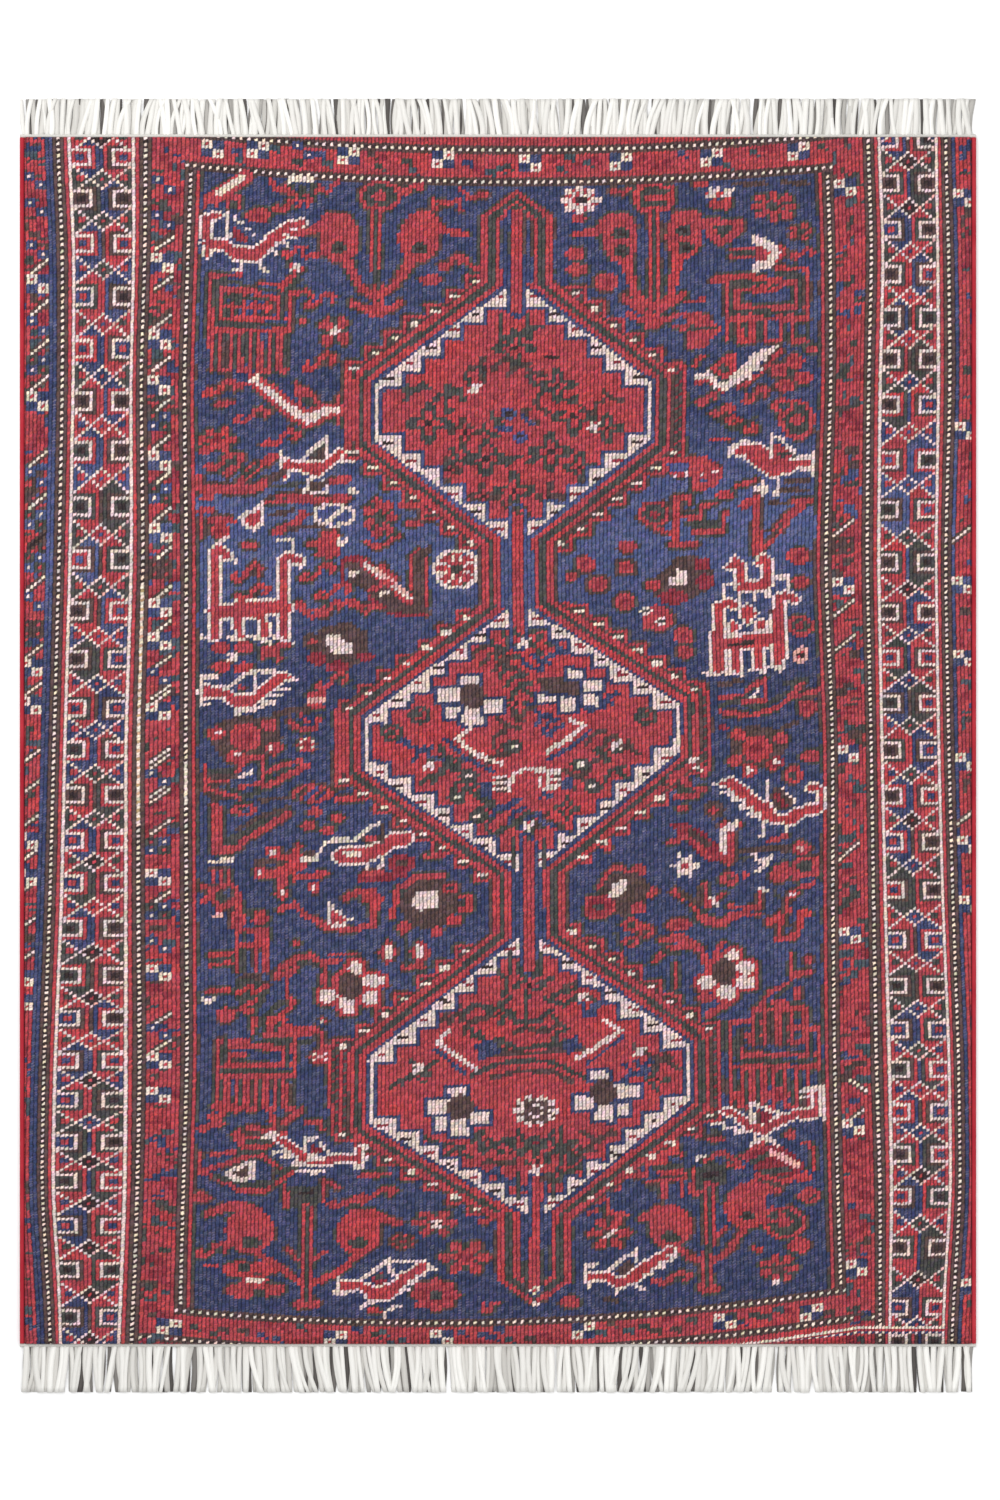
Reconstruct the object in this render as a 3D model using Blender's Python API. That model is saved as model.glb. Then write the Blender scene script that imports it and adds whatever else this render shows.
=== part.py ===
"""Hand-knotted wool rug lying flat, with overcast side edges and a cut warp fringe at both ends.

The rug lies on z = 0 with its length along Y. The origin is the centre of its footprint.
"""
import math

import bmesh
import bpy
import numpy as np

# Driving sizes in metres
RUG_WIDTH = 1.150
PILE_LENGTH = 1.449
TOP_FRINGE_LENGTH = 0.048
BOTTOM_FRINGE_LENGTH = 0.060
CLOTH_THICKNESS = 0.009
PILE_EDGE_RADIUS = 0.004
PIECE_GAP = 0.0003

# The pile was clipped by hand, so its top is a little uneven
UNEVEN_HEIGHT = 0.0004
TOP_COLUMNS = 20
TOP_ROWS = 26

# Overcast side edge: wool wound round the outermost warps
OVERCAST_WIDTH = 0.006
OVERCAST_HEIGHT = 0.007
OVERCAST_STEPS = 48
OVERCAST_RIPPLE = 0.00025

# Fringe: the cotton warps come out of a narrow woven end and lie on the floor
END_STRIP_DEPTH = 0.006
STRAND_COUNT = 120
STRAND_WIDTH = 0.0052
STRAND_TIP_WIDTH = 0.0042
STRAND_HEIGHT = 0.0036
STRAND_TIP_HEIGHT = 0.0026
STRAND_SEGMENTS = 3
STRAND_LEAN = 0.0085
STRAND_BOW = 0.0012
SIDE_MARGIN = 0.009

# Places worked out from the sizes
OVERALL_LENGTH = PILE_LENGTH + TOP_FRINGE_LENGTH + BOTTOM_FRINGE_LENGTH
HALF_WIDTH = RUG_WIDTH / 2
TOP_END = OVERALL_LENGTH / 2
BOTTOM_END = -OVERALL_LENGTH / 2
PILE_TOP = TOP_END - TOP_FRINGE_LENGTH
PILE_BOTTOM = BOTTOM_END + BOTTOM_FRINGE_LENGTH
CLOTH_HALF_WIDTH = HALF_WIDTH - OVERCAST_WIDTH - PIECE_GAP

CRIMSON = (0.40, 0.035, 0.055, 1.0)
MADDER = (0.36, 0.030, 0.045, 1.0)
COTTON = (0.72, 0.70, 0.66, 1.0)


def clear_scene():
    """Remove every object that the file opened with."""
    for old in list(bpy.data.objects):
        bpy.data.objects.remove(old, do_unlink=True)


def yarn_material(name, colour, roughness):
    """A plain matt yarn finish."""
    material = bpy.data.materials.new(name)
    material.use_nodes = True
    shader = material.node_tree.nodes["Principled BSDF"]
    shader.inputs["Base Color"].default_value = colour
    shader.inputs["Roughness"].default_value = roughness
    shader.inputs["Metallic"].default_value = 0.0
    return material


def add_piece(name, vertices, faces, material):
    """Make one closed mesh object whose faces point out."""
    mesh = bpy.data.meshes.new(name)
    mesh.from_pydata([tuple(point) for point in vertices], [], faces)
    work = bmesh.new()
    work.from_mesh(mesh)
    bmesh.ops.recalc_face_normals(work, faces=work.faces)
    work.to_mesh(mesh)
    work.free()
    mesh.materials.append(material)
    piece = bpy.data.objects.new(name, mesh)
    bpy.context.collection.objects.link(piece)
    return piece


def clipped_height(x, y):
    """Height of the clipped pile: two slow waves that cross."""
    across = math.sin(9.0 * x + 4.0 * y + 0.6)
    along = math.sin(7.0 * y - 5.0 * x + 1.9)
    return CLOTH_THICKNESS - UNEVEN_HEIGHT + UNEVEN_HEIGHT * across * along


def edge_positions(half, steps):
    """Grid lines from -half to half, with three extra lines over each rounded edge."""
    curl = PILE_EDGE_RADIUS * np.array([0.0, 0.293, 1.0])
    inner = np.linspace(-half + PILE_EDGE_RADIUS, half - PILE_EDGE_RADIUS, steps + 1)
    return np.concatenate([-half + curl[:2], inner, half - curl[:2][::-1]])


def rounded_drop(distance):
    """How far a quarter-round edge falls at a distance from the rim."""
    inside = max(0.0, PILE_EDGE_RADIUS - distance)
    return PILE_EDGE_RADIUS - math.sqrt(max(0.0, PILE_EDGE_RADIUS ** 2 - inside ** 2))


def build_cloth(material):
    """The knotted cloth: a flat underside, upright sides and a pile top with rounded rims."""
    half_length = PILE_LENGTH / 2
    middle_y = (PILE_TOP + PILE_BOTTOM) / 2
    xs = edge_positions(CLOTH_HALF_WIDTH, TOP_COLUMNS)
    ys = edge_positions(half_length, TOP_ROWS)
    columns = len(xs)
    rows = len(ys)
    vertices = []
    for y in ys:
        for x in xs:
            drop = max(rounded_drop(CLOTH_HALF_WIDTH - abs(x)), rounded_drop(half_length - abs(y)))
            vertices.append((x, middle_y + y, clipped_height(x, y) - drop))
    faces = []
    for row in range(rows - 1):
        for column in range(columns - 1):
            corner = row * columns + column
            faces.append((corner, corner + 1, corner + 1 + columns, corner + columns))
    rim = [column for column in range(columns)]
    rim += [row * columns + columns - 1 for row in range(1, rows)]
    rim += [(rows - 1) * columns + column for column in range(columns - 2, -1, -1)]
    rim += [row * columns for row in range(rows - 2, 0, -1)]
    foot = len(vertices)
    for index in rim:
        x, y, _ = vertices[index]
        vertices.append((x, y, 0.0))
    count = len(rim)
    for step in range(count):
        after = (step + 1) % count
        faces.append((rim[step], rim[after], foot + after, foot + step))
    faces.append(tuple(foot + step for step in range(count)))
    return add_piece("rug", vertices, faces, material)


def build_overcast_edge(name, side, material):
    """One overcast side edge: a flat-bottomed round bar beside the cloth, a little uneven."""
    profile = np.array([
        (0.0, 0.0),
        (1.0, 0.0),
        (1.0, 0.55),
        (0.82, 0.88),
        (0.50, 1.0),
        (0.18, 0.88),
        (0.0, 0.55),
    ])
    outer = side * HALF_WIDTH
    points = len(profile)
    vertices = []
    for step in range(OVERCAST_STEPS + 1):
        y = PILE_BOTTOM + PILE_LENGTH * step / OVERCAST_STEPS
        ripple = OVERCAST_RIPPLE * math.sin(1.7 * step) * math.sin(0.45 * step + 0.8)
        height = OVERCAST_HEIGHT - OVERCAST_RIPPLE + ripple
        for across, up in profile:
            vertices.append((outer - side * OVERCAST_WIDTH * across, y, height * up))
    faces = []
    for step in range(OVERCAST_STEPS):
        for point in range(points):
            after = (point + 1) % points
            near = step * points
            far = near + points
            faces.append((near + point, near + after, far + after, far + point))
    faces.append(tuple(range(points)))
    faces.append(tuple(OVERCAST_STEPS * points + point for point in range(points)))
    return add_piece(name, vertices, faces, material)


def strand_lean(place):
    """Sideways reach of a strand's tip, from smooth waves along the edge."""
    slow = 0.62 * math.sin(0.23 * place + 0.4)
    quick = 0.38 * math.sin(0.71 * place + 2.1)
    return STRAND_LEAN * (slow + quick)


def build_fringe(name, root_y, tip_y, phase, material):
    """A woven end strip with a row of strands, as one comb that lies level on the floor.

    The strip runs from root_y for its depth. Each strand starts as a rectangle of the strip's
    front face and ends square at tip_y, sheared sideways by its lean.
    """
    way = 1.0 if tip_y > root_y else -1.0
    front_y = root_y + way * END_STRIP_DEPTH
    span = RUG_WIDTH - 2 * SIDE_MARGIN
    pitch = span / (STRAND_COUNT - 1)
    centres = [-span / 2 + pitch * place for place in range(STRAND_COUNT)]
    stations = [-HALF_WIDTH]
    stations += [centre - STRAND_WIDTH / 2 for centre in centres]
    stations.append(HALF_WIDTH)

    vertices = []
    faces = []

    def add_vertex(x, y, z):
        vertices.append((x, y, z))
        return len(vertices) - 1

    back = [(add_vertex(x, root_y, 0.0), add_vertex(x, root_y, STRAND_HEIGHT)) for x in stations]
    left_end = (add_vertex(-HALF_WIDTH, front_y, 0.0), add_vertex(-HALF_WIDTH, front_y, STRAND_HEIGHT))
    right_end = (add_vertex(HALF_WIDTH, front_y, 0.0), add_vertex(HALF_WIDTH, front_y, STRAND_HEIGHT))
    roots = []
    for centre in centres:
        left = centre - STRAND_WIDTH / 2
        right = centre + STRAND_WIDTH / 2
        roots.append((
            add_vertex(left, front_y, 0.0),
            add_vertex(right, front_y, 0.0),
            add_vertex(right, front_y, STRAND_HEIGHT),
            add_vertex(left, front_y, STRAND_HEIGHT),
        ))

    # The strip from its left end to the first strand, then one cell for each strand
    first = roots[0]
    faces.append((back[0][0], back[1][0], first[0], left_end[0]))
    faces.append((back[0][1], left_end[1], first[3], back[1][1]))
    faces.append((back[0][0], back[0][1], back[1][1], back[1][0]))
    faces.append((left_end[0], first[0], first[3], left_end[1]))
    faces.append((back[0][0], left_end[0], left_end[1], back[0][1]))
    for place in range(STRAND_COUNT):
        root = roots[place]
        if place < STRAND_COUNT - 1:
            next_low, next_high = roots[place + 1][0], roots[place + 1][3]
        else:
            next_low, next_high = right_end
        near = back[place + 1]
        far = back[place + 2]
        faces.append((near[0], far[0], next_low, root[1], root[0]))
        faces.append((near[1], root[3], root[2], next_high, far[1]))
        faces.append((near[0], near[1], far[1], far[0]))
        faces.append((root[1], next_low, next_high, root[2]))
    faces.append((back[-1][0], back[-1][1], right_end[1], right_end[0]))

    for place, centre in enumerate(centres):
        ring = roots[place]
        lean = strand_lean(place + phase)
        bow = STRAND_BOW * math.sin(1.3 * (place + phase))
        for step in range(1, STRAND_SEGMENTS + 1):
            along = step / STRAND_SEGMENTS
            x = centre + lean * along ** 1.4 + bow * math.sin(math.pi * along)
            x = min(max(x, -HALF_WIDTH + STRAND_TIP_WIDTH), HALF_WIDTH - STRAND_TIP_WIDTH)
            y = front_y + (tip_y - front_y) * along
            half = (STRAND_WIDTH + (STRAND_TIP_WIDTH - STRAND_WIDTH) * along) / 2
            height = STRAND_HEIGHT + (STRAND_TIP_HEIGHT - STRAND_HEIGHT) * along
            after = (
                add_vertex(x - half, y, 0.0),
                add_vertex(x + half, y, 0.0),
                add_vertex(x + half * 0.8, y, height),
                add_vertex(x - half * 0.8, y, height),
            )
            for side in range(4):
                turn = (side + 1) % 4
                faces.append((ring[side], ring[turn], after[turn], after[side]))
            ring = after
        faces.append(ring)
    return add_piece(name, vertices, faces, material)


clear_scene()
pile_yarn = yarn_material("pile_wool", MADDER, 0.92)
overcast_yarn = yarn_material("overcast_wool", CRIMSON, 0.90)
warp_yarn = yarn_material("warp_cotton", COTTON, 0.88)
build_cloth(pile_yarn)
build_overcast_edge("selvedge_left", -1.0, overcast_yarn)
build_overcast_edge("selvedge_right", 1.0, overcast_yarn)
build_fringe("fringe_top", PILE_TOP + PIECE_GAP, TOP_END, 0.0, warp_yarn)
build_fringe("fringe_bottom", PILE_BOTTOM - PIECE_GAP, BOTTOM_END, 37.0, warp_yarn)
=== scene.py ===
import bpy
import numpy as np
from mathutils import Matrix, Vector


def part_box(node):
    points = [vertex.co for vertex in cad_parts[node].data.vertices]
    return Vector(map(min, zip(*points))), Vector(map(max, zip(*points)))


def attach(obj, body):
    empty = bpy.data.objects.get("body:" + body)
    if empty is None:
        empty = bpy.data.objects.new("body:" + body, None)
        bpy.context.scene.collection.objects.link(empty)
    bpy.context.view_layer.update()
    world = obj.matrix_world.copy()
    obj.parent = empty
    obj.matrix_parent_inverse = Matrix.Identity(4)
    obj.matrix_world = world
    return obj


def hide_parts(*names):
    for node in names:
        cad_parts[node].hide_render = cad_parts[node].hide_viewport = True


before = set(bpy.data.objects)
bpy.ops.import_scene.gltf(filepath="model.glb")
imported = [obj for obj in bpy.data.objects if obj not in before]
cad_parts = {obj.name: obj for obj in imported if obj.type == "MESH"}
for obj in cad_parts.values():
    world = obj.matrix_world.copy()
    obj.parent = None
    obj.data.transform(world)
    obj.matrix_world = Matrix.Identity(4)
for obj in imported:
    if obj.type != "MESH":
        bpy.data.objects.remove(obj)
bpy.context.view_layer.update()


def plain(corners):
    """Two corners as plain lists of numbers."""
    return [[float(value) for value in corner] for corner in corners]


# The knotted cloth
# One rug is woven in one piece: wool knots tied in rows on cotton warps, beaten down with wefts.
# Its pattern is worked knot by knot, so this section sets out the knots on the loom, draws the
# pattern on them after the photo in real centimetres, and makes the ribbed cloth and its dyed wool.

KNOT_COLUMNS = 257
KNOT_ROWS = 432
CLOTH_WIDTH_CM = 115.0
PILE_LENGTH_CM = 144.9

# Where the weave carries its long stripes, in cm from the left edge, at ten heights (cm from the
# top of the pile). The knot column in the middle of each stripe heads its column.
STRIPE_COLUMNS = np.array([11.5, 14.5, 30.5, 33.5, 44.5, 212.5, 223.5, 226.5, 242.5, 245.5])
STRIPE_DRIFT = np.array([
    # height, guard a, line a, line b, guard b, guard c, guard d, guard e, line c, line d, guard f
    (0, 4.6, 5.9, 13.7, 15.2, 20.8, 96.9, 101.9, 103.2, 110.1, 111.2),
    (13.6, 5.2, 6.6, 13.8, 15.1, 20.3, 97.4, 102.4, 103.8, 110.3, 111.6),
    (29.2, 5.2, 6.5, 13.4, 14.6, 19.8, 97.5, 102, 103.4, 110.4, 111.8),
    (50.8, 4.8, 6.1, 13.5, 14.9, 20.1, 96.8, 101.8, 103.2, 110.1, 111.2),
    (72.4, 4.2, 5.5, 12.8, 14.3, 20, 97.7, 102.3, 103.6, 110.4, 111.6),
    (91.6, 3.7, 5.1, 12.8, 14.3, 20.1, 97.7, 102.6, 104, 110.9, 112.1),
    (110.8, 3, 4.3, 12.8, 14.5, 20.2, 97.9, 102.9, 104.5, 111.7, 112.8),
    (126.4, 2.7, 4, 12.7, 14.2, 19.7, 98.3, 103.4, 104.8, 111.9, 113),
    (138.4, 3.5, 4.8, 12.2, 13.8, 19.4, 98.7, 103.4, 104.6, 111.1, 112.3),
    (144.9, 3.8, 5, 11.9, 13.4, 19.3, 98.7, 103.4, 104.5, 110.9, 111.9),
])
SELVEDGE_KNOTS_CM = 5.25

# How tightly the rows were beaten down, in cm of height for one row, and how the rows bend:
# they sag between the side borders and climb towards the right
ROW_HEIGHT = np.array([
    # height, row height
    (0.0, 0.350),
    (12.0, 0.360),
    (22.0, 0.392),
    (52.0, 0.394),
    (62.0, 0.350),
    (95.0, 0.343),
    (105.0, 0.322),
    (145.0, 0.319),
])
ROW_BEND = np.array([
    # height, sag, climb
    (0, 1.9, 0.3),
    (5, 1.9, 0.3),
    (30, 1, -0.4),
    (55, 0.2, -3),
    (75, 0, -4.6),
    (110, 0.9, -4.4),
    (140, 2.4, -2.2),
    (145, 2.4, -2.2),
])
FIRST_ROW_CM = -2.4
LAST_ROW_CM = 147.8


def smoothed(values, reach):
    """Each value becomes the mean of those within reach places of it, three times over."""
    for _ in range(3):
        padded = np.concatenate([np.repeat(values[:1], reach), values, np.repeat(values[-1:], reach)])
        values = np.convolve(padded, np.full(2 * reach + 1, 1 / (2 * reach + 1)), mode="valid")
    return values


fine_height = np.linspace(-10.0, 155.0, 331)
stripe_lines = [
    smoothed(np.interp(fine_height, STRIPE_DRIFT[:, 0], STRIPE_DRIFT[:, place]), 5)
    for place in range(1, 11)
]
warp_knots = np.concatenate([[0.0], STRIPE_COLUMNS, [KNOT_COLUMNS]])
warp_lines = [stripe_lines[0] - SELVEDGE_KNOTS_CM] + stripe_lines + [stripe_lines[-1] + SELVEDGE_KNOTS_CM]

loom_height = np.linspace(FIRST_ROW_CM, LAST_ROW_CM, 2000)
rows_passed = np.cumsum(1.0 / np.interp(loom_height, ROW_HEIGHT[:, 0], ROW_HEIGHT[:, 1]))
rows_passed = (rows_passed - rows_passed[0]) / (rows_passed[-1] - rows_passed[0]) * KNOT_ROWS


def across_cm(column, height):
    """Distance from the left edge of a knot column at a height: linear between the drifting stripes."""
    column = np.clip(column, 0.0, KNOT_COLUMNS)
    after = np.clip(np.searchsorted(warp_knots, column, side="right"), 1, len(warp_knots) - 1)
    lines = np.stack([np.interp(height, fine_height, line) for line in warp_lines])
    near = np.take_along_axis(lines, (after - 1)[None], axis=0)[0]
    far = np.take_along_axis(lines, after[None], axis=0)[0]
    share = (column - warp_knots[after - 1]) / (warp_knots[after] - warp_knots[after - 1])
    return near + share * (far - near)


def down_cm(row, across):
    """Distance from the pile's top of a knot row: its beaten height, plus a parabola of sag and a slope."""
    height = np.interp(row, rows_passed, loom_height)
    share = np.clip((across - 20.0) / 77.0, -0.05, 1.05)
    sag = np.interp(height, ROW_BEND[:, 0], ROW_BEND[:, 1])
    climb = np.interp(height, ROW_BEND[:, 0], ROW_BEND[:, 2])
    return height + sag * 4.0 * share * (1.0 - share) + climb * share


def loom_place(column, row):
    """Real place in cm of a point given in knot columns and rows."""
    column, row = np.broadcast_arrays(np.asarray(column, float), np.asarray(row, float))
    rough = across_cm(column, np.interp(row, rows_passed, loom_height))
    down = down_cm(row, rough)
    return across_cm(column, down), down


column_of = np.broadcast_to(np.arange(KNOT_COLUMNS)[None, :], (KNOT_ROWS, KNOT_COLUMNS))
row_of = np.broadcast_to(np.arange(KNOT_ROWS)[:, None], (KNOT_ROWS, KNOT_COLUMNS))
knot_x, knot_y = loom_place(column_of + 0.5, row_of + 0.5)
row_low = knot_y.min(axis=1)
row_high = knot_y.max(axis=1)

# The dyed wools. A knot's colour is its place in this list, which the dye material repeats.
NAVY, RED, GREEN, BROWN, IVORY, BLACK, MADDER, SKY, ROSE, TAN, CREAM, TEAL = range(12)
chart = np.full((KNOT_ROWS, KNOT_COLUMNS), RED, dtype=np.int32)


def band(low, high):
    """The rows of knots that a span of heights can touch."""
    return slice(int(np.searchsorted(row_high, low)), int(np.searchsorted(row_low, high)))


def inside(points):
    """Knots whose centres lie in a closed outline: an odd number of its sides lie to their right."""
    points = np.asarray(points, float)
    rows = band(points[:, 1].min(), points[:, 1].max())
    x, y = knot_x[rows], knot_y[rows]
    odd = np.zeros(x.shape, bool)
    for (x0, y0), (x1, y1) in zip(points, np.roll(points, -1, axis=0)):
        if y0 != y1:
            odd ^= ((y0 > y) != (y1 > y)) & (x < x0 + (x1 - x0) * (y - y0) / (y1 - y0))
    mask = np.zeros(chart.shape, bool)
    mask[rows] = odd
    return mask


def along_piece(x, y, start, end):
    """The share of a straight piece at which it is nearest to each knot, and how far off that is."""
    dx, dy = end[0] - start[0], end[1] - start[1]
    share = np.clip(((x - start[0]) * dx + (y - start[1]) * dy) / max(dx * dx + dy * dy, 1e-9), 0.0, 1.0)
    return share, np.hypot(x - start[0] - share * dx, y - start[1] - share * dy)


def reach_to(points, closed=False, most=99.0):
    """Distance in cm from each knot to a line through the points, and 99 past the most that is asked."""
    points = np.asarray(points, float)
    if closed:
        points = np.vstack([points, points[:1]])
    rows = band(points[:, 1].min() - most, points[:, 1].max() + most)
    x, y = knot_x[rows], knot_y[rows]
    best = np.full(x.shape, 99.0)
    for start, end in zip(points[:-1], points[1:]):
        best = np.minimum(best, along_piece(x, y, start, end)[1])
    far = np.full(chart.shape, 99.0)
    far[rows] = best
    return far


def line(points, width):
    """Knots within half a width of a line."""
    return reach_to(points, most=width) < width / 2


def oval(x, y, half_width, half_height):
    """Knots in an ellipse."""
    return ((knot_x - x) / half_width) ** 2 + ((knot_y - y) / half_height) ** 2 < 1.0


def taper(*points):
    """Knots in a limb through points of x, y and width: the width runs smoothly from each to the next."""
    mask = np.zeros(chart.shape, bool)
    _, heights, widths = zip(*points)
    rows = band(min(heights) - max(widths), max(heights) + max(widths))
    for start, end in zip(points[:-1], points[1:]):
        share, far = along_piece(knot_x[rows], knot_y[rows], start, end)
        mask[rows] |= far < (start[2] + (end[2] - start[2]) * share) / 2
    return mask


def grown(mask, corners=True):
    """The mask and the knots beside it, over its corners too if asked."""
    wide = mask.copy()
    wide[:, 1:] |= mask[:, :-1]
    wide[:, :-1] |= mask[:, 1:]
    beside = wide.copy() if corners else mask
    wide[1:] |= beside[:-1]
    wide[:-1] |= beside[1:]
    return wide


def rim(mask, corners=True):
    """The single ring of knots just outside a mask."""
    return grown(mask, corners) & ~mask


def tie(mask, colour):
    """Tie every knot of the mask in one wool."""
    chart[mask] = colour


def knot_row(column, y):
    """The row whose knot in a column lies nearest to a height."""
    return int(np.clip(np.searchsorted(knot_y[:, column], y), 0, KNOT_ROWS - 1))


def stamp(rows, columns, colour):
    """Tie one knot or a block of knots, where they are on the loom."""
    rows, columns = np.broadcast_arrays(np.asarray(rows), np.asarray(columns))
    real = (rows >= 0) & (rows < KNOT_ROWS) & (columns >= 0) & (columns < KNOT_COLUMNS)
    chart[rows[real], columns[real]] = colour


def stamp_in(rows, side, columns, colour):
    """Tie a block of knots. Its columns are counted inwards from one edge of a border."""
    edge, step = side
    stamp(np.arange(*rows)[:, None], edge + step * np.arange(*columns)[None, :], colour)


# Field and long stripes
chart[:, 47:210] = NAVY
for low, high, colour in (
        # first column, the one after the last, wool
        (8, 10, NAVY), (13, 14, RED), (14, 15, IVORY), (30, 31, IVORY), (31, 32, RED),
        (225, 226, RED), (226, 227, IVORY), (242, 243, IVORY), (243, 244, RED), (247, 248, NAVY),
):
    chart[:, low:high] = colour
# The rows where the guards of the short borders start, from their heights
TOP_OUTER, TOP_INNER, LOW_INNER, LOW_OUTER = (
    int(row) for row in np.interp((-0.7, 2.9, 140.8, 144.2), loom_height, rows_passed))
chart[:TOP_INNER, 35:222] = RED
chart[LOW_INNER:, 35:222] = RED


def guard(strip):
    """A guard down a strip of the chart three knots wide: brown, black with every other knot cream, brown."""
    strip[:] = BROWN
    strip[:, 1] = BLACK
    strip[::2, 1] = CREAM


for column in (10, 32, 222, 244):
    guard(chart[:, column:column + 3])
for column in (43, 211):
    guard(chart[TOP_INNER:LOW_INNER + 3, column:column + 3])
for row in (TOP_INNER, LOW_INNER):
    guard(chart[row:row + 3, 43:214].T)
for row in (TOP_OUTER, LOW_OUTER):
    guard(chart[row:row + 3, 35:222].T)

# Two long guards are worn down to bare cotton on the left
worn = (knot_y > 54) & (knot_y < 82.5) & (column_of >= 32) & (column_of < 35)
tie(worn & (column_of == 33), CREAM)
tie(worn & (column_of == 33) & (row_of % 3 == 0), TAN)
tie((knot_y > 75) & (knot_y < 80) & (column_of == 44), CREAM)

# Main borders: ivory boxes on both lines, half hexagons between them, crossed lines midway
LEFT_BOXES = (-2.6, 2.3, 7.3, 12.6, 19, 25.5, 31.7, 37.8, 44.4, 50.7, 56.8, 62.6, 68.5, 73.4, 79,
              84.3, 89.7, 95.1, 100.7, 105.9, 111, 115.7, 120.7, 125.5, 130.6, 136, 141.7, 147)
RIGHT_BOXES = (-5, 0.3, 5.4, 11, 16.3, 21.6, 26.7, 32, 38.6, 44.6, 51.1, 57.1, 62.6, 68, 73.6,
               79.2, 84.7, 90.5, 96.3, 101.8, 107.2, 112, 117.1, 122.2, 127.3, 133.3, 140.5, 147)
LEFT_HALVES = "nr nr gn nr rn nr rn nr rg nr rn gr rn nr rg nr gr nr gr rn nr rg gr rg nr rg nr rn".split()
RIGHT_HALVES = "rn nr rg nr rn nr rg gr rn nr rg rn gr ng rn nr nr gr rn gr nr rg nr rg nr rg nr rn".split()
WOOL_LETTERS = {"n": NAVY, "r": RED, "g": GREEN}


def main_border(first, boxes, halves, seed):
    """One border of fifteen knot columns. Lines cross in knot steps, one up for each one along."""
    dice = np.random.default_rng(seed)
    middle = first + 7
    both = ((first, 1), (first + 14, -1))
    rows = [knot_row(middle, y) for y in boxes]
    for place, (row, pair) in enumerate(zip(rows, halves)):
        above = row - 8 if place == 0 else (rows[place - 1] + row) // 2
        below = row + 8 if place == len(rows) - 1 else (row + rows[place + 1]) // 2
        wools = [WOOL_LETTERS[letter] for letter in pair]
        rings = [RED if wool in (NAVY, GREEN) else BROWN for wool in wools]
        if dice.random() < 0.5:
            rings = [GREEN if wool == RED else BROWN for wool in wools]
        stamp(np.arange(above, below), middle, (BROWN, NAVY, wools[0])[dice.integers(3)])
        for side, wool, ring_wool in zip(both, wools, rings):
            inner = (RED, BROWN, NAVY, GREEN)[dice.integers(4)]
            dot = NAVY if inner == RED else (RED if inner == NAVY else BLACK)
            stamp_in((above, below), side, (0, 7), wool)
            stamp_in((row - 4, row + 4), side, (0, 6), ring_wool)
            stamp_in((row - 3, row + 3), side, (0, 5), IVORY)
            stamp_in((row - 2, row + 2), side, (0, 4), inner)
            stamp_in((row - 1, row + 1), side, (1, 3), dot)
    for above, below in zip(rows[:-1], rows[1:]):
        row = (above + below) // 2
        fill, dot = ((RED, NAVY), (NAVY, RED), (GREEN, RED), (RED, GREEN))[dice.integers(4)]
        heart = (RED, NAVY, BLACK, GREEN)[dice.integers(4)]
        for edge, step in both:
            for along in range(8):
                tall = abs(along - 4)
                colour = fill if along < 4 else heart
                stamp(np.arange(row - tall, row + tall + 1), edge + step * along, colour)
            stamp_in((row - 1, row + 1), (edge, step), (1, 3), dot)
            for along in range(8):
                stamp(row + 4 - along, edge + step * along, IVORY)
                stamp(row - 4 + along, edge + step * along, IVORY if along % 2 or edge == first else ROSE)
        stamp(row, middle, RED if heart != RED else NAVY)


main_border(15, LEFT_BOXES, LEFT_HALVES, 3)
main_border(227, RIGHT_BOXES, RIGHT_HALVES, 8)


# Narrow borders: red ground with slashes, box pairs and little stepped leaves
def column_at(x, row):
    """The column whose knot in a row lies nearest to a place across."""
    return int(np.argmin(np.abs(knot_x[row] - x)))


def slash(column, y, colour=CREAM, rise=1, length=5):
    """A bar of knots from lower left to upper right, edged in brown."""
    row = knot_row(column, y)
    place = np.arange(length) - length // 2
    for edge in (-1, 1):
        stamp(row - rise * place + edge, column + place, BROWN)
    stamp(row - rise * place, column + place, colour)


BOX_WOOLS = {
    # kind: its two light boxes and their hearts, then the two dark ones and theirs
    "c": (CREAM, RED, NAVY, NAVY), "n": (NAVY, IVORY, None, None),
    "g": (GREEN, RED, NAVY, IVORY), "d": (BROWN, RED, BROWN, RED),
}


def box_pair(column, y, kind, lean=1):
    """Two boxes of three knots corner to corner, with two dark squares on the other corners."""
    row = knot_row(column, y)
    block = np.arange(3)
    light, light_heart, dark, dark_heart = BOX_WOOLS[kind]
    for side in (-1, 1):
        up = side * lean > 0
        for wool, heart, upper in ((light, light_heart, not up), (dark, dark_heart, up)):
            rows = row - 3 * upper + block[:, None]
            columns = column + (0 if side > 0 else -3) + block[None, :]
            if wool is not None:
                stamp(rows, columns, wool)
                stamp(rows[1], columns[0, 1], heart)


def leaf_steps(first, last, low, high, seed):
    """Seeded stepped leaves: short runs of small squares climbing aside in navy, green, brown."""
    dice = np.random.default_rng(seed)
    y = low
    while y < high:
        column = int(dice.integers(first, last - 2))
        row = knot_row(column, y)
        colour = (NAVY, GREEN, TEAL, MADDER, MADDER, BROWN, MADDER)[dice.integers(7)]
        side = 1 if dice.random() < 0.5 else -1
        for step in range(1 if dice.random() < 0.5 else 3):
            wide, tall = int(dice.integers(0, 4)), int(dice.integers(0, 3))
            columns = np.clip(column + side * 2 * step + np.arange(wide + 1), first, last - 1)
            stamp(row + step * 2 + np.arange(tall + 1)[:, None], columns[None, :], colour)
            if wide == 3 and colour in (NAVY, GREEN):
                stamp(row + step * 2, columns[1], RED)
        y += float(dice.uniform(0.5, 1.3))


for first, last, seed in ((0, 8, 21), (35, 43, 22), (214, 222, 23), (249, 257, 24)):
    leaf_steps(first, last, -1.0, 150.0, seed)

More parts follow.
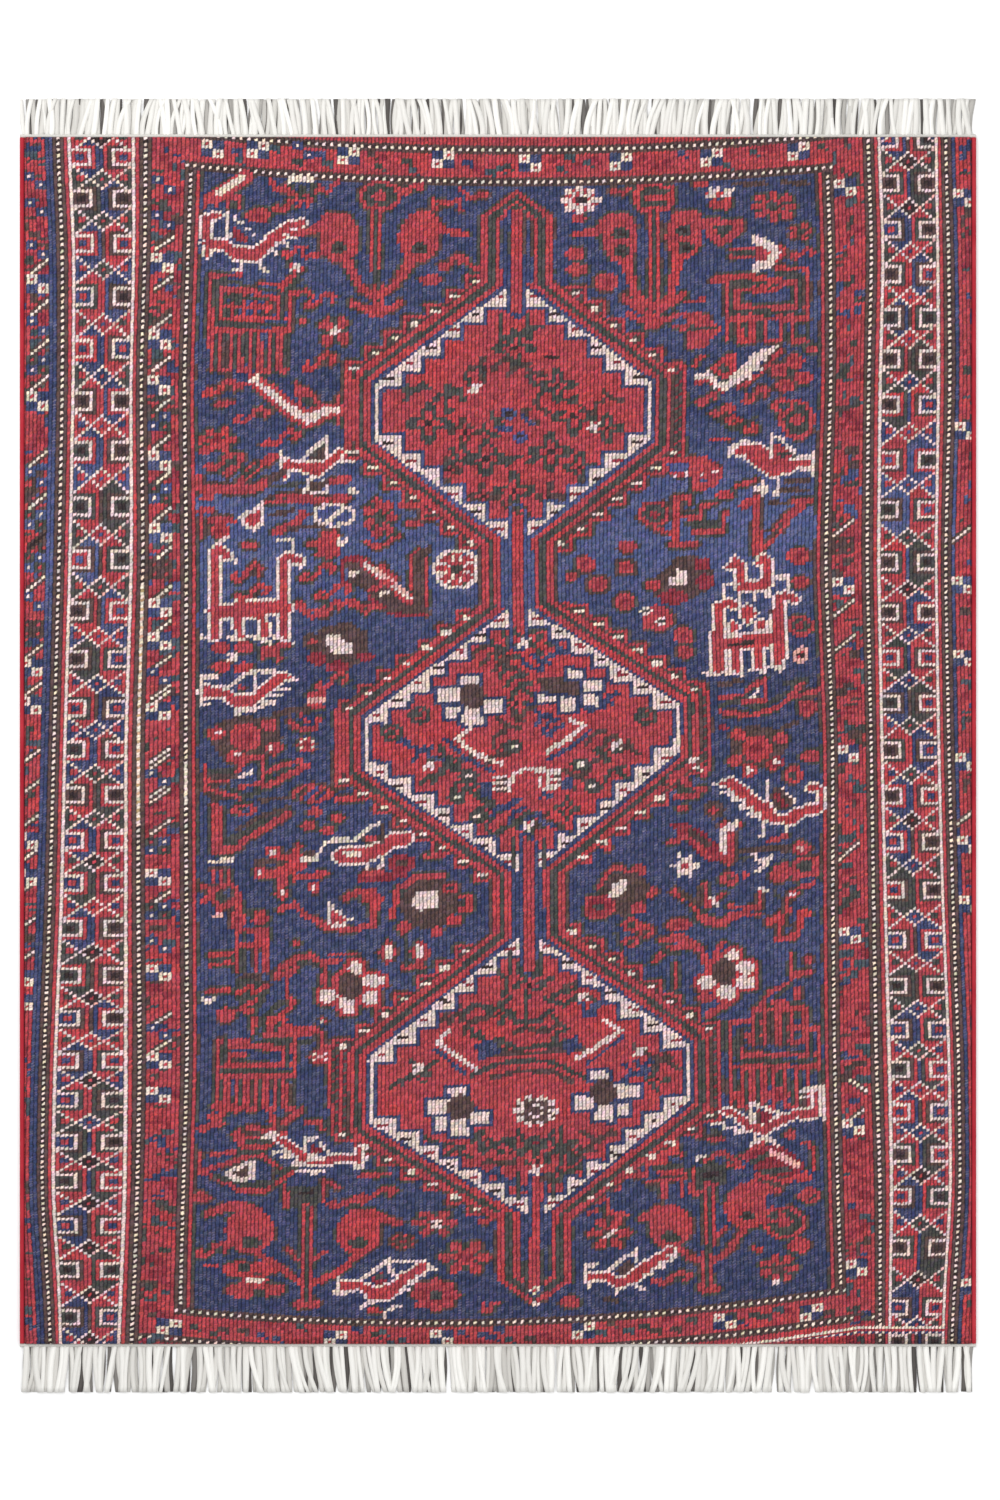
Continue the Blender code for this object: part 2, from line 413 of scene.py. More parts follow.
SLASHES = (
    # middle column, knots long, heights
    (5, 5, (15.3, 20.3, 25, 29.5, 38.5, 43.5, 53.6, 61.5, 66, 74, 78, 82, 86, 90, 94.2, 98.5)),
    (38, 5, (12.2, 12.7, 17.2, 21.6, 22.1, 27.1, 32, 36.5, 41, 45.2, 50, 54.5, 58.8, 62.9, 66.5, 67.1, 74.2,
             74.7, 78.3, 78.8, 82.7, 91.2, 105.7, 109)),
    (217, 6, (46.6, 56.1, 60.3, 85.3, 117.3)),
    (250, 6, (47.3, 81)),
)
for column, length, heights in SLASHES:
    for y in heights:
        slash(column, y, length=length)
slash(218, 113.5, rise=-1)
slash(5, 48.4, BLACK)

BOX_PAIRS = (
    # middle column, kind, heights
    (5, "n", (5.2, 8.5, 13.5, 22.6, 41, 55.8)),
    (5, "c", (17.8, 31.8, 63.7, 68.2, 84.6, 88.8, 101, 104)),
    (5, "g", (27.2, 46, 51)),
    (5, "d", (59.2,)),
    (38, "n", (5.9, 10, 64.8, 76.8, 97, 107.5)),
    (38, "c", (15.2, 24.4, 29.6, 38.8, 47.6, 56.5, 60.5, 69, 88.8, 100.3, 111, 115)),
    (38, "g", (34.1, 42.8, 85, 93)),
    (38, "d", (51.8,)),
    (217, "c", (5.9, 53.8, 74, 96, 118.8, 135.8)),
    (217, "d", (48.9,)),
    (250, "c", (7.2, 35.3, 53.9, 62.6, 75, 84.8, 92, 138)),
)
for column, kind, heights in BOX_PAIRS:
    for y in heights:
        box_pair(column, y, kind)

# Ends: the same boxes along the short borders, with leaves between them
END_BOXES = (
    # x, y, kind, which way the light pair leans
    (23.3, 1.5, "c", 1), (29, 1.6, "c", -1), (34.4, 1.7, "n", 1), (40, 2.3, "c", -1), (51, 2.8, "c", -1),
    (61.8, 3, "c", 1), (72.6, 2.8, "c", -1), (83.4, 2.3, "c", -1), (93.9, 1.5, "c", -1),
    (18.2, 143, "c", -1), (38.1, 144.1, "c", -1), (51, 144.1, "c", 1), (68.1, 143.4, "c", -1),
    (84.8, 142, "c", 1), (95.5, 141.2, "c", -1),
)
for x, y, kind, lean in END_BOXES:
    box_pair(column_at(x, knot_row(KNOT_COLUMNS // 2, y)), y, kind, lean)
end_dice = np.random.default_rng(25)
for x in np.arange(21.5, 97.0, 1.05):
    for low, high in ((TOP_OUTER + 3, TOP_INNER), (LOW_INNER + 3, LOW_OUTER)):
        column = column_at(x + end_dice.uniform(-0.4, 0.4), 200)
        row = int(end_dice.integers(low, high - 1))
        colour = (NAVY, GREEN, TEAL, BROWN, MADDER)[end_dice.integers(5)]
        if np.all(chart[row:row + 3, column:column + 4] == RED):
            stamp(row + np.arange(2)[:, None], column + np.arange(end_dice.integers(2, 4))[None, :], colour)
            stamp(row + 2, column + 2, colour)

# Pole and medallions: three stepped hexagons on a pole with a pointed house at each end
POLE_LENGTHS = (
    # top and foot of the two bare lengths between the medallions
    ((59.75, 48.8), (59.9, 56)), ((61.1, 88.4), (61.2, 95.8)),
)
MEDALLIONS = (
    # top, upper left, lower left, foot, lower right, upper right, steps
    ((59.7, 17.2), (42.6, 29.6), (42.6, 36.3), (59.7, 49.2), (75.9, 36.3), (75.9, 29.4), 6),
    ((60, 55.8), (41.3, 69.9), (41.3, 75.7), (61, 89), (79.2, 73.9), (79.2, 68.1), 7),
    ((61.1, 95.2), (41.9, 110.6), (42.1, 118.4), (62.1, 130), (80.5, 115.8), (80.5, 108.8), 7),
)
STAIRS = (
    # first and last cream dash, how many, then which way is outward across and down
    (54.8, 17.3, 40.2, 27.7, 7, -1, -1), (66.7, 18.8, 78.4, 28, 6, 1, -1),
    (40.2, 37.9, 54.2, 48.7, 7, -1, 1), (78.7, 37.8, 65, 48.8, 7, 1, 1),
    (53.7, 57.7, 39.5, 68.5, 7, -1, -1), (67.2, 56.9, 81.2, 66.3, 7, 1, -1),
    (39, 77.2, 55.7, 88.6, 8, -1, 1), (81.5, 75.8, 67.6, 86.4, 7, 1, 1),
    (53.6, 97.8, 39, 109.2, 7, -1, -1), (66.4, 95.4, 82.8, 107.1, 8, 1, -1),
    (38.9, 119.8, 55.1, 128.7, 7, -1, 1), (83, 117.5, 68.6, 127.3, 7, 1, 1),
)


def box(x0, y0, x1, y1):
    """Knots in an upright rectangle."""
    return inside(((x0, y0), (x1, y0), (x1, y1), (x0, y1)))


steps_mask = np.zeros(chart.shape, bool)
sides = np.zeros(chart.shape, bool)
dashes = np.zeros(chart.shape, bool)
for x0, y0, x1, y1, count, across, down in STAIRS:
    for x, y in zip(np.linspace(x0, x1, count), np.linspace(y0, y1, count)):
        steps_mask |= box(x + 1.3 * across, y + 0.95 * down, x - 3.6 * across, y - 2.6 * down)
        dashes |= box(x - 0.55, y - 0.2, x + 0.55, y + 0.25)
for flank in ((39.2, 27.5, 43, 38), (75.5, 27.5, 80.1, 38), (37.9, 68.5, 42, 77.5),
              (79, 66.5, 83.1, 76), (37.2, 109, 42, 120), (80, 107, 84.4, 117.5)):
    sides |= box(*flank)
steps_mask |= sides
outer_stair = steps_mask & rim(~steps_mask)
tie(steps_mask, GREEN)
tie(steps_mask & ((column_of + row_of) % 4 == 0), BROWN)
tie(steps_mask & ((column_of + row_of) % 4 == 2), MADDER)
tie(sides & (column_of % 3 == 0), RED)
tie(outer_stair, RED)

bodies = np.zeros(chart.shape, bool)
reach = np.full(chart.shape, 99.0)
for *corners, _ in MEDALLIONS:
    bodies |= inside(corners)
    reach = np.minimum(reach, reach_to(corners, closed=True, most=4.0))
for (x0, y0), (x1, y1) in POLE_LENGTHS:
    strip = ((x0 - 1.4, y0), (x0 + 1.4, y0), (x1 + 1.4, y1), (x1 - 1.4, y1))
    bodies |= inside(strip)
    reach = np.minimum(reach, reach_to(strip, closed=True, most=5.0) / 1.22)
reach[bodies] = 0.0
for far, colour in ((2.75, BROWN), (2.45, RED), (1.75, GREEN), (1.1, RED), (0.42, NAVY)):
    tie(reach < far, colour)
tie(dashes, CREAM)
tie(bodies, NAVY)
HOUSE_BANDS = (
    # half width of each band's outer edge, its wool
    (4.4, RED), (3.5, GREEN), (2.65, RED), (1.85, NAVY),
)
for x, foot, eaves, apex in ((59.75, 17.6, 9.5, 6.3), (62.0, 129.0, 137.4, 140.3)):
    for half, wool_here in HOUSE_BANDS:
        drop = (4.4 - half) * (0.75 if apex < foot else -0.75)
        tie(inside(((x - half, foot), (x - half, eaves + drop * 0.35), (x, apex + drop),
                    (x + half, eaves + drop * 0.35), (x + half, foot))), wool_here)


def stair(start, end, steps, lift):
    """Corners of a stair under a slanting edge, from its first point to its last."""
    xs = np.linspace(start[0], end[0], steps + 1)
    ys = np.linspace(start[1], end[1], steps + 1) + lift
    rising = []
    for place in range(steps):
        rising += [(xs[place], ys[place + 1]), (xs[place + 1], ys[place + 1])]
    return rising


for top, left_high, left_low, foot, right_low, right_high, steps in MEDALLIONS:
    tie(inside((top, left_high, left_low, foot, right_low, right_high)), IVORY)
    high_left = stair((top[0] - 1.3, top[1] + 0.6), left_high, steps, 0.5)
    low_left = stair((foot[0] - 1.3, foot[1] - 0.6), left_low, steps, -0.5)[::-1]
    low_right = stair((foot[0] + 1.3, foot[1] - 0.6), right_low, steps, -0.5)
    high_right = stair((top[0] + 1.3, top[1] + 0.6), right_high, steps, 0.5)[::-1]
    shrink = [(x + 0.5 if x < top[0] - 10 else x - 0.5 if x > top[0] + 10 else x, y)
              for x, y in high_left + low_left + low_right + high_right]
    core = inside(shrink)
    tie(core, NAVY)
    tie(core & ~grown(~core), RED)
    for start, end, way in ((top, left_high, 1.0), (top, right_high, 1.0), (foot, left_low, -1.0),
                            (foot, right_low, -1.0)):
        first = start[0] + (1.3 if end[0] > start[0] else -1.3)
        for place in range(steps):
            x = first + (end[0] - first) * (place + 0.36) / steps
            y = start[1] + 0.6 * way + (end[1] - start[1] - 0.6 * way) * (place + 0.64) / steps + 0.25 * way
            dash = box(x - 0.62, y - 0.17, x + 0.62, y + 0.17)
            tie(dash & (chart == IVORY), BLACK if place % 2 else MADDER)
for start, end in (((59.75, 9.3), (59.75, 20.6)), ((59.75, 45), (60, 60.6)),
                   ((61, 84.6), (61.2, 99.6)), ((62.1, 125.4), (62, 138))):
    tie(line((start, end), 2.3), NAVY)
    tie(line((start, end), 1.35), RED)

# Figures in the field, drawn after the photo as limbs, leaves, rings and birds, in cm
def pairs(numbers):
    """Points from a row that holds the x and y of each in turn."""
    return list(zip(numbers[0::2], numbers[1::2]))


def strokes(*rows):
    """Knots in bent strokes. A row holds a width, then the x and y of each point."""
    return np.any([line(pairs(row[1:]), row[0]) for row in rows], axis=0)


def limbs(colour, width, *bends):
    """Bent lines in one wool, each given by the x and y of its points."""
    for bend in bends:
        tie(line(pairs(bend), width), colour)


def limb(colour, width, *bend):
    """One bent line."""
    limbs(colour, width, bend)


def lines(colour, *bends):
    """Lines one knot thick."""
    limbs(colour, 0.6, *bends)


def fine(colour, *bends):
    """Lines so thin that they skip a knot here and there."""
    limbs(colour, 0.5, *bends)


def patches(colour, *outlines):
    """Filled outlines in one wool."""
    for outline in outlines:
        tie(inside(pairs(outline)), colour)


def patch(colour, *outline):
    """One filled outline."""
    patches(colour, outline)


def each(tool, *rows):
    """The same drawing function once for each row of its numbers."""
    for row in rows:
        tool(*row)


def disc(x, y, half_width, half_height, fill=RED, heart=None, edge=None):
    """A round berry, with a heart and an edge in other wools if asked."""
    shape = oval(x, y, half_width, half_height)
    if edge is not None:
        tie(grown(shape), edge)
    tie(shape, fill)
    if heart is not None:
        tie(oval(x, y, max(half_width * 0.42, 0.3), max(half_height * 0.42, 0.25)), heart)


def dots(settings, *places):
    """The same berry at each place."""
    for x, y in places:
        disc(x, y, *settings)


def bars(colour, width, ends, *places):
    """The same short bar at each place. Its two ends are given from the place."""
    for x, y in places:
        limb(colour, width, x + ends[0], y + ends[1], x + ends[2], y + ends[3])


def posts(colour, width, top, foot, *places):
    """Upright bars between two heights, one at each place across."""
    for x in places:
        limb(colour, width, x, top, x, foot)


def ring(x, y, half_width, half_height, colour=RED, fill=NAVY, heart=None):
    """A ring one knot thick."""
    disc(x, y, half_width, half_height, colour)
    disc(x, y, half_width - 0.6, half_height - 0.5, fill)
    if heart is not None:
        disc(x, y, half_width * 0.35, half_height * 0.35, heart)


def squiggle(x, y, width, height, colour=RED, flip=1):
    """A lying S: a wave that curls back at both ends."""
    across, down = width / 2, flip * height / 2
    bends = ((-0.72, 0.15), (-1, 0.75), (-0.55, 1), (-0.1, 0.3), (0.1, -0.5), (0.5, -1), (1, -0.6),
             (0.74, 0.1))
    tie(line([(x + across * along, y + down * rise) for along, rise in bends], 0.62), colour)


def flower(x, y, half_width, half_height, petal=RED, heart=IVORY, petals=6, gap=GREEN, turn=0.0):
    """A rosette: petals in a ring round a heart, parted by spokes in another wool."""
    angle = petals * (np.arctan2((knot_y - y) / half_height, (knot_x - x) / half_width) - turn)
    far = np.hypot((knot_x - x) / half_width, (knot_y - y) / half_height)
    tie(far < 0.88 + 0.12 * np.cos(angle), petal)
    tie((np.cos(angle) < -0.55) & (far < 0.80) & (far > 0.28), gap)
    tie(far < 0.27, heart)


def star(x, y):
    """A few ivory knots in a slanting cross."""
    fine(IVORY, (x - 0.55, y + 0.4, x + 0.55, y - 0.4), (x - 0.3, y - 0.35, x + 0.3, y + 0.35))


def pomegranate_tree(x, top, foot, spread=(4.5, 5.0), drop=0.0, fruit=(2.5, 2.9), eyes=1):
    """A stem of three knots, two fruits on arms that bend down to it, and short leaves at the foot."""
    limb(RED, 1.35, x, top, x, foot)
    fine(GREEN, (x, top, x, foot))
    for side, away in ((-1, spread[0]), (1, spread[1])):
        fx, fy = x + side * away, top + 3.4 + (drop if side > 0 else 0.0)
        disc(fx, fy, *fruit)
        over = fy - fruit[1]
        tie(taper((fx - 0.6 * side, over + 0.5, 1.6), (fx + 1.2 * side, over + 0.3, 1.4),
            (fx + 3.0 * side, over + 1.9, 1.0), (fx + 5.6 * side, fy - 0.6, 0.8)), RED)
        tie(taper((fx - 0.5 * side, fy + fruit[1] - 0.8, 1.5), (x + side * 2.0, foot - 2.2, 1.0),
            (x, foot - 1.0, 0.9)), RED)
        if eyes == 1:
            disc(fx + 0.1 * side, fy + 1.2, 0.85, 0.7, GREEN, BLACK)
        else:
            disc(fx, fy - 0.7, 1.0, 0.75, GREEN, BLACK)
            disc(fx + 0.2, fy + 1.4, 1.0, 0.7, GREEN, BLACK)
        limb(RED, 0.8, x + side * 3.0, foot - 0.3 - drop * 0.3, x + side * 0.8, foot + 0.7)
    patch(RED, x - 0.9, foot - 0.2, x + 0.9, foot - 0.2, x + 0.8, foot + 1.4, x - 0.8, foot + 1.4)


def comb_animal(left, right, back, feet, head, facing, turns=4, tall=6.0):
    """A beast of nested lines: a square neck at one end, a tail at the other, and a comb of legs."""
    lines(RED, (left, back, right, back), (left, back + 1.4, right, back + 1.4))
    fine(GREEN, (left + 0.2, back + 0.75, right - 0.2, back + 0.75))
    step = (right - left) / (2 * turns)
    for place in range(2 * turns + 1):
        x = left + step * place
        lines(RED, (x, back + 1.4, x, feet))
        if place % 2 == 0:
            fine(GREEN, (min(x + 0.55, right), back + 2.0, min(x + 0.55, right), feet - 0.4))
        elif place < 2 * turns:
            lines(RED, (x, feet, x + step, feet))
    for end, side in ((left, 1), (right, -1)):
        high = back - tall if (side > 0) == (facing < 0) else back - tall * 0.8
        lines(RED, (end, back + 1.0, end, high, end + side * 3.6, high),
              (end + side * 1.3, back, end + side * 1.3, high + 1.6, end + side * 3.4, high + 1.6))
        fine(GREEN, (end + side * 0.7, back, end + side * 0.7, high + 0.8, end + side * 3.4, high + 0.8))
    limb(RED, 0.9, *head)


def edged(mask, fill=RED, edge=IVORY):
    """A creature in one wool with an edge all round in another."""
    tie(grown(mask, False), edge)
    tie(mask, fill)


# Top left of the field
limb(RED, 1.7, 23.3, 7.3, 27.2, 4.8)
limbs(CREAM, 0.8, (23.7, 6.9, 26.7, 4.9), (32.5, 5.1, 35.1, 5.2))
fine(GREEN, (33, 5.8, 33, 6.9), (34, 5.8, 34, 6.9), (35, 5.8, 35, 6.9))
lines(RED, (22.3, 8.4, 22.5, 7.3), (23.8, 8.3, 23.9, 7.2), (25.2, 7.4, 26.4, 7.1, 26.5, 8.3),
    (25.1, 8.3, 25.2, 7.3), (30.3, 5.2, 30.6, 6.2, 31.6, 6.3), (32, 5.8, 32.3, 6.8, 33.2, 6.9),
    (35.6, 6.7, 36.1, 6, 37, 6.8, 37.6, 5.8, 38.4, 5.4), (34.3, 7, 35, 7.4, 34.6, 8.4),
    (50, 8.8, 49.7, 7.6, 51.2, 8, 52.8, 7.6, 53.1, 8.8), (52.9, 6.2, 54, 7.3, 56.2, 6.9),
    (53.6, 14.6, 54.2, 15.6, 55.2, 15.8), (34.3, 14.4, 36.2, 14))
each(squiggle, (32.3, 8.2, 3.4, 1.4), (47, 6.2, 3, 1.3), (51.9, 15, 3, 1.7), (33, 13.7, 2.6, 1.1))
each(disc, (28.7, 9.4, 1.5, 0.95, RED, MADDER), (49.4, 17.2, 1.3, 0.75), (33.2, 15.7, 1, 0.6))
bird = strokes((0.62, 22.5, 9.7, 22.5, 13.4, 22.6, 14.2), (0.6, 22.5, 9.7, 24, 9.4),
    (0.9, 22.6, 12.8, 25, 12.9))
bird |= taper((24.6, 12.9, 1), (26, 14, 1.3), (28.4, 14, 1.4), (30.2, 12.6, 1.4), (32.2, 10.9, 1.2),
    (34.2, 10.2, 0.6))
edged(bird)
patch(NAVY, 25.2, 9.9, 25.4, 11.8, 26.8, 12.6, 28, 12.4)
patch(MADDER, 25.5, 10.6, 25.7, 12, 27, 12.8, 27.8, 12.3)
fine(IVORY, (25, 9.2, 25.2, 12), (26.8, 15, 26.7, 15.8, 25.9, 16), (28.9, 15, 28.8, 15.8, 29.8, 16.1))
dots((0.36, 0.24, IVORY), (25.8, 9.7), (26.6, 10.4), (27.4, 11.1), (28.2, 11.8))
bars(IVORY, 0.5, (-0.8, -0.3, 0.4, 0), (30.6, 13.9), (31.8, 12.9), (32.8, 12.1), (33.6, 11.4))
ring(43.3, 7.1, 2.6, 1.9, RED, GREEN, RED)
pomegranate_tree(42.95, 8.8, 20.2)
star(33.2, 15.6)

# Comb beast, left, with a small creature in its back
comb_animal(23, 32.4, 21.8, 28, (31.6, 18.2, 33, 16.6), -1, 4, 5.2)
limb(GREEN, 0.8, 32.2, 18.6, 33.6, 17)
lines(RED, (25, 18.6, 26.2, 18.3, 28.8, 18.6), (24.9, 20.4, 30.2, 20.4),
    (32.6, 18.8, 34.6, 18.4, 35.2, 19.2), (26.3, 29.9, 28.6, 29.5), (38.2, 31.2, 38.2, 34.4))
posts(RED, 0.6, 19.2, 21, 25.6, 27, 28.4, 29.8)
fine(GREEN, (25.6, 19.4, 29.6, 19.5))
each(squiggle, (36.1, 19.6, 3.6, 1.6), (36.1, 27, 3.6, 1.9), (24.3, 30.1, 4.2, 1.6), (28, 33.4, 4, 1.6),
    (31.5, 36.2, 4.2, 1.7))
disc(34.2, 22.1, 0.5, 0.4)
each(flower, (37.9, 23.3, 2.2, 2.1, RED, IVORY, 4, GREEN, 0.7),
    (23.8, 36.4, 2.5, 1.7, RED, MADDER, 6, GREEN))
fine(RED, (23.4, 32.1, 26, 32))
bird = taper((28.2, 29.2, 0.6), (30, 30.6, 0.9), (32.4, 32.6, 1), (34.8, 33.9, 1.1), (36.4, 33, 0.9),
    (38, 32.7, 0.9))
tie(grown(bird), RED)
tie(bird, IVORY)
fine(IVORY, (27.5, 29.4, 28.7, 28.8))
patch(RED, 32.8, 29, 33.4, 32, 36.4, 31.9, 35.2, 30.6)
disc(34.6, 31.7, 0.8, 0.5, GREEN)

# Top right of the field
each(flower, (67.4, 7.6, 2.6, 1.8, IVORY, BLACK, 8, RED), (90.6, 8.3, 3, 2, RED, GREEN, 8, GREEN),
    (93.9, 11.4, 1.5, 1.1, RED, GREEN, 5, BROWN))
each(disc, (67.1, 9.7, 0.9, 0.5), (66.8, 14, 1.2, 0.75), (66.9, 15.9, 1.3, 0.75),
    (70.5, 17.4, 1.5, 1.2, RED, MADDER), (81.9, 5.7, 0.9, 0.4))
each(ring, (76.2, 7.3, 2.6, 1.8, RED, GREEN, RED), (89.8, 17.7, 1.9, 1, RED, GREEN),
    (93.4, 33.9, 2.2, 2.4, RED, GREEN, RED), (91.8, 32.3, 1.4, 1, RED, NAVY))
patch(GREEN, 74.2, 6.2, 78.3, 6.2, 78, 8.4, 74.4, 8.4)
lines(RED, (74.2, 6.1, 74.4, 8.6, 78, 8.6, 78.4, 6.1), (75.2, 7.3, 77.4, 7.3),
    (71.2, 6.4, 72.6, 6.7, 73.2, 6.2), (85.4, 13.5, 89.2, 13.4), (85.4, 14.4, 89.2, 14.2),
    (88.4, 18.6, 91.8, 16.6))
pomegranate_tree(76.1, 8.9, 21.5, (3.9, 3.7), -0.4, (2.2, 2.8), 2)
limbs(RED, 0.8, (72.6, 19.2, 75, 21), (80, 18.8, 77, 20.8))
dots((0.8, 0.6), (83.3, 6.8), (84.9, 6.9), (83.6, 8), (84.9, 8.2))
each(star, (83.3, 6.7), (85, 6.7))
lines(BROWN, (86, 5.6, 89.6, 5.6), (91.6, 5.4, 94.6, 5.6))
patches(RED, (82.2, 9.8, 86.8, 9.8, 87.2, 11.2, 84.4, 13.2, 82.2, 11.6),
    (88.2, 12, 91.6, 13, 92.2, 13.9, 91, 15, 87.8, 16.3, 88.8, 14),
    (88.6, 13.4, 90, 13.4, 90, 14.5, 88.6, 14.5),
    (77.8, 22.4, 80.2, 22.6, 79.6, 20.9, 82.4, 21.2, 84.4, 22.9, 82.4, 25.3, 80, 25.4, 80.4, 23.6),
    (82.9, 27.8, 84.4, 26.3, 85.9, 25.7, 86.1, 28.4, 84.8, 29.1))
patch(GREEN, 83.4, 10.8, 86, 10.4, 84.6, 12.2)
fine(GREEN, (86, 13.95, 88.4, 13.9), (80.6, 22.9, 83.4, 22.9))
limb(IVORY, 1.1, 88.4, 12.3, 90.2, 13, 90.9, 13.9, 90.2, 15, 88.4, 15.7)
each(squiggle, (94, 14, 2.6, 1), (82.6, 31.4, 2.2, 1.2), (84.6, 32.8, 2.6, 1.4), (88.4, 31, 2.8, 1.6),
    (86.9, 34.6, 3.6, 1.8, RED, -1))
comb_animal(84.9, 94.6, 20.4, 24.4, (83.2, 17.2, 85, 16.9), 1, 3, 4.6)
bars(RED, 0.55, (0, 0, 0.3, 2.8), (86.4, 21.4), (87.6, 21.4), (91.2, 21.4), (92.6, 21.4))
fine(RED, (80, 19.7, 82.4, 19.5), (86.4, 30.1, 88.8, 28.6, 91.4, 25.6), (81, 27.6, 81.4, 26.6, 82.2, 26.3),
    (81.2, 29.6, 82.8, 29.3, 84.4, 30.5), (83.2, 36.4, 85.2, 36.2))
bird = taper((81.3, 28.7, 0.9), (82.8, 28.6, 0.9), (83.8, 29.7, 0.8), (84.8, 30, 0.8), (86.6, 28.6, 1.4),
    (88.6, 26.6, 1.4), (91.2, 25, 0.5))
tie(bird, IVORY)
bars(IVORY, 0.5, (-1, 0, 0.4, 0.2), (87.6, 28.7), (88.6, 27.6), (89.4, 26.6))
each(disc, (84.6, 27.8, 0.6, 0.6, GREEN), (92.6, 28.4, 0.5, 0.4, GREEN), (95.2, 25.5, 0.7, 0.35))
dots((1.1, 0.9, RED, MADDER), (91.2, 28), (93.2, 26.9), (94.2, 28.9), (92, 29.8))
lines(GREEN, (83.6, 33.8, 85.6, 35.2, 88.6, 33.6))

# Left of the field, from the small crested bird down to the turtle
bird = taper((32.2, 39.3, 0.9), (33.8, 39.5, 0.9), (35.4, 40, 1.4), (36.8, 39.4, 1.1), (38.6, 37.9, 0.6))
bird |= strokes((0.6, 32, 38.9, 32, 40.5))
edged(bird)
fine(IVORY, (31.4, 38, 31.9, 38.9), (34, 38.7, 36.9, 36, 37, 38.6), (38.6, 38.9, 40, 38.9),
    (34.3, 42.5, 34.9, 41.2, 35, 42.6), (35.2, 42.6, 37, 42.6), (36.6, 41.2, 36.8, 42.3))
patches(BROWN, (34.7, 38.6, 36.5, 36.9, 36.5, 38.6), (35, 41.3, 36.6, 41.2, 36.5, 42.3, 35.1, 42.3))
fine(GREEN, (35.2, 38.2, 36.3, 37.2), (29.8, 42, 34, 41.6), (28, 45.9, 28.3, 46.1), (43.4, 44, 43.2, 47.8))
lines(CREAM, (39.6, 42.4, 40.7, 42.6))
each(disc, (38.4, 41.3, 1.1, 0.55), (39.3, 41, 0.8, 0.5), (38.6, 43.5, 1.2, 0.6), (22.6, 43.3, 0.9, 0.4),
    (24.2, 47.3, 1.3, 0.9, RED, MADDER), (27.6, 49, 0.9, 0.4))
limb(BROWN, 1.1, 23.2, 41.7, 29, 41.7, 31.5, 40.4)
limbs(RED, 1.1, (21.6, 41, 21.9, 42.4, 28, 42.4, 29.4, 41.6), (26.6, 41.4, 28.2, 39.8, 30.6, 38.4),
    (30.8, 47.4, 33.2, 46.4, 34.2, 45.2))
lines(GREEN, (27.2, 40.6, 28.6, 39.4))
each(squiggle, (24.6, 38.9, 4.6, 1.8), (23.4, 37.4, 3.2, 1.1))
limbs(RED, 0.8, (24.8, 40.4, 26.2, 39.6), (23, 46, 25.8, 46.1))
fine(BROWN, (29.8, 43.3, 33.6, 42.4))
lines(RED, (29.6, 43.8, 33.2, 43.7, 36.8, 43.6), (21.4, 44.9, 23.2, 44.7), (21.9, 45.2, 21.9, 47.9),
    (41.8, 48.4, 43, 49.3, 45.8, 47.8), (45.6, 44.3, 48.2, 44.2, 49.2, 45), (46.6, 46.4, 48.4, 46.5))
fine(RED, (31, 43.2, 35, 43.1))
patch(IVORY, 26.2, 45.7, 29.2, 43.7, 29.6, 44.4, 29.5, 46.6, 28.4, 47.3, 27.2, 47)
patches(RED, (27.1, 45.8, 28.9, 44.6, 28.9, 46.2, 28.1, 46.7, 27.5, 46.5),
    (33.7, 48.9, 36.2, 48.2, 36.4, 47.2, 38.2, 47.1, 38.8, 50, 37.4, 50.6, 35.4, 50.4, 35.8, 49.3))
lines(BROWN, (30.2, 45.4, 33, 44.8), (32.4, 47, 36.6, 46.6))
disc(37.8, 45.4, 2.1, 1, SKY, None, IVORY)
lines(IVORY, (37, 46.1, 38.6, 44.7))
flower(43.3, 45.7, 2.2, 2.6, RED, GREEN, 7, GREEN)
star(38.7, 48.7)

# Two-headed beast
edged(strokes((0.9, 23.5, 50.2, 23.5, 59.8), (0.95, 31.9, 50.6, 31.9, 59.8), (1.5, 23.5, 56.9, 31.9, 56.5),
    (0.9, 23.3, 50, 24, 49.4, 24.8, 50.2), (0.9, 31.5, 50.8, 32.7, 50.4, 33.8, 51),
    (0.9, 26.4, 57, 26.5, 60), (0.9, 29.2, 57, 29.3, 60)))
fine(IVORY, (23.2, 49.2, 25.2, 47.9), (24.6, 50.8, 26, 50.9), (31, 48.3, 32.9, 48.5, 32.9, 49.8),
    (33, 51.4, 34.4, 51.4, 34.2, 50.6))
bars(IVORY, 0.5, (-0.6, 0, 1.6, 0.7), (22.6, 60), (25.6, 60), (28.4, 60), (31.2, 60))
each(squiggle, (27.3, 52.3, 3.6, 1.9), (28, 54.7, 4, 1.5), (36, 52.3, 4, 1.9), (37.8, 54.5, 4, 1.7),
    (34.5, 56.8, 2.4, 1.9, RED, -1), (37.4, 56.5, 2.8, 1.9), (40.8, 56.3, 2.6, 1.5, RED, -1))
disc(27, 54.6, 0.6, 0.4, GREEN)

# Big leaf with a pink vein, and its bands
patch(BROWN, 39.2, 50.9, 41.4, 50.8, 44, 52.2, 47.2, 55.8, 48.8, 57.2, 44.6, 57, 42.8, 55.4, 39.4, 53.2)
lines(MADDER, (39, 53.4, 38.8, 50.8, 41.2, 50.5), (42, 55.2, 44.6, 57.2, 48.8, 57.4))
limb(RED, 1.3, 41.4, 51.2, 47.2, 55.7)
lines(IVORY, (41.5, 51.3, 46.9, 55.4))
fine(ROSE, (43, 52, 46.4, 54.7))
lines(CREAM, (39.9, 52.5, 40.7, 52.3), (43.3, 54.9, 44.1, 54.6))
lines(RED, (47.2, 54.2, 47.2, 50.2, 48.8, 49.4), (48.9, 57.2, 48.9, 50.6), (43.6, 51.6, 45.2, 53.2))
limb(BROWN, 1.1, 48.1, 56.6, 48, 50.4, 49.2, 49.6)
fine(RED, (40, 56.2, 43.6, 56.4))
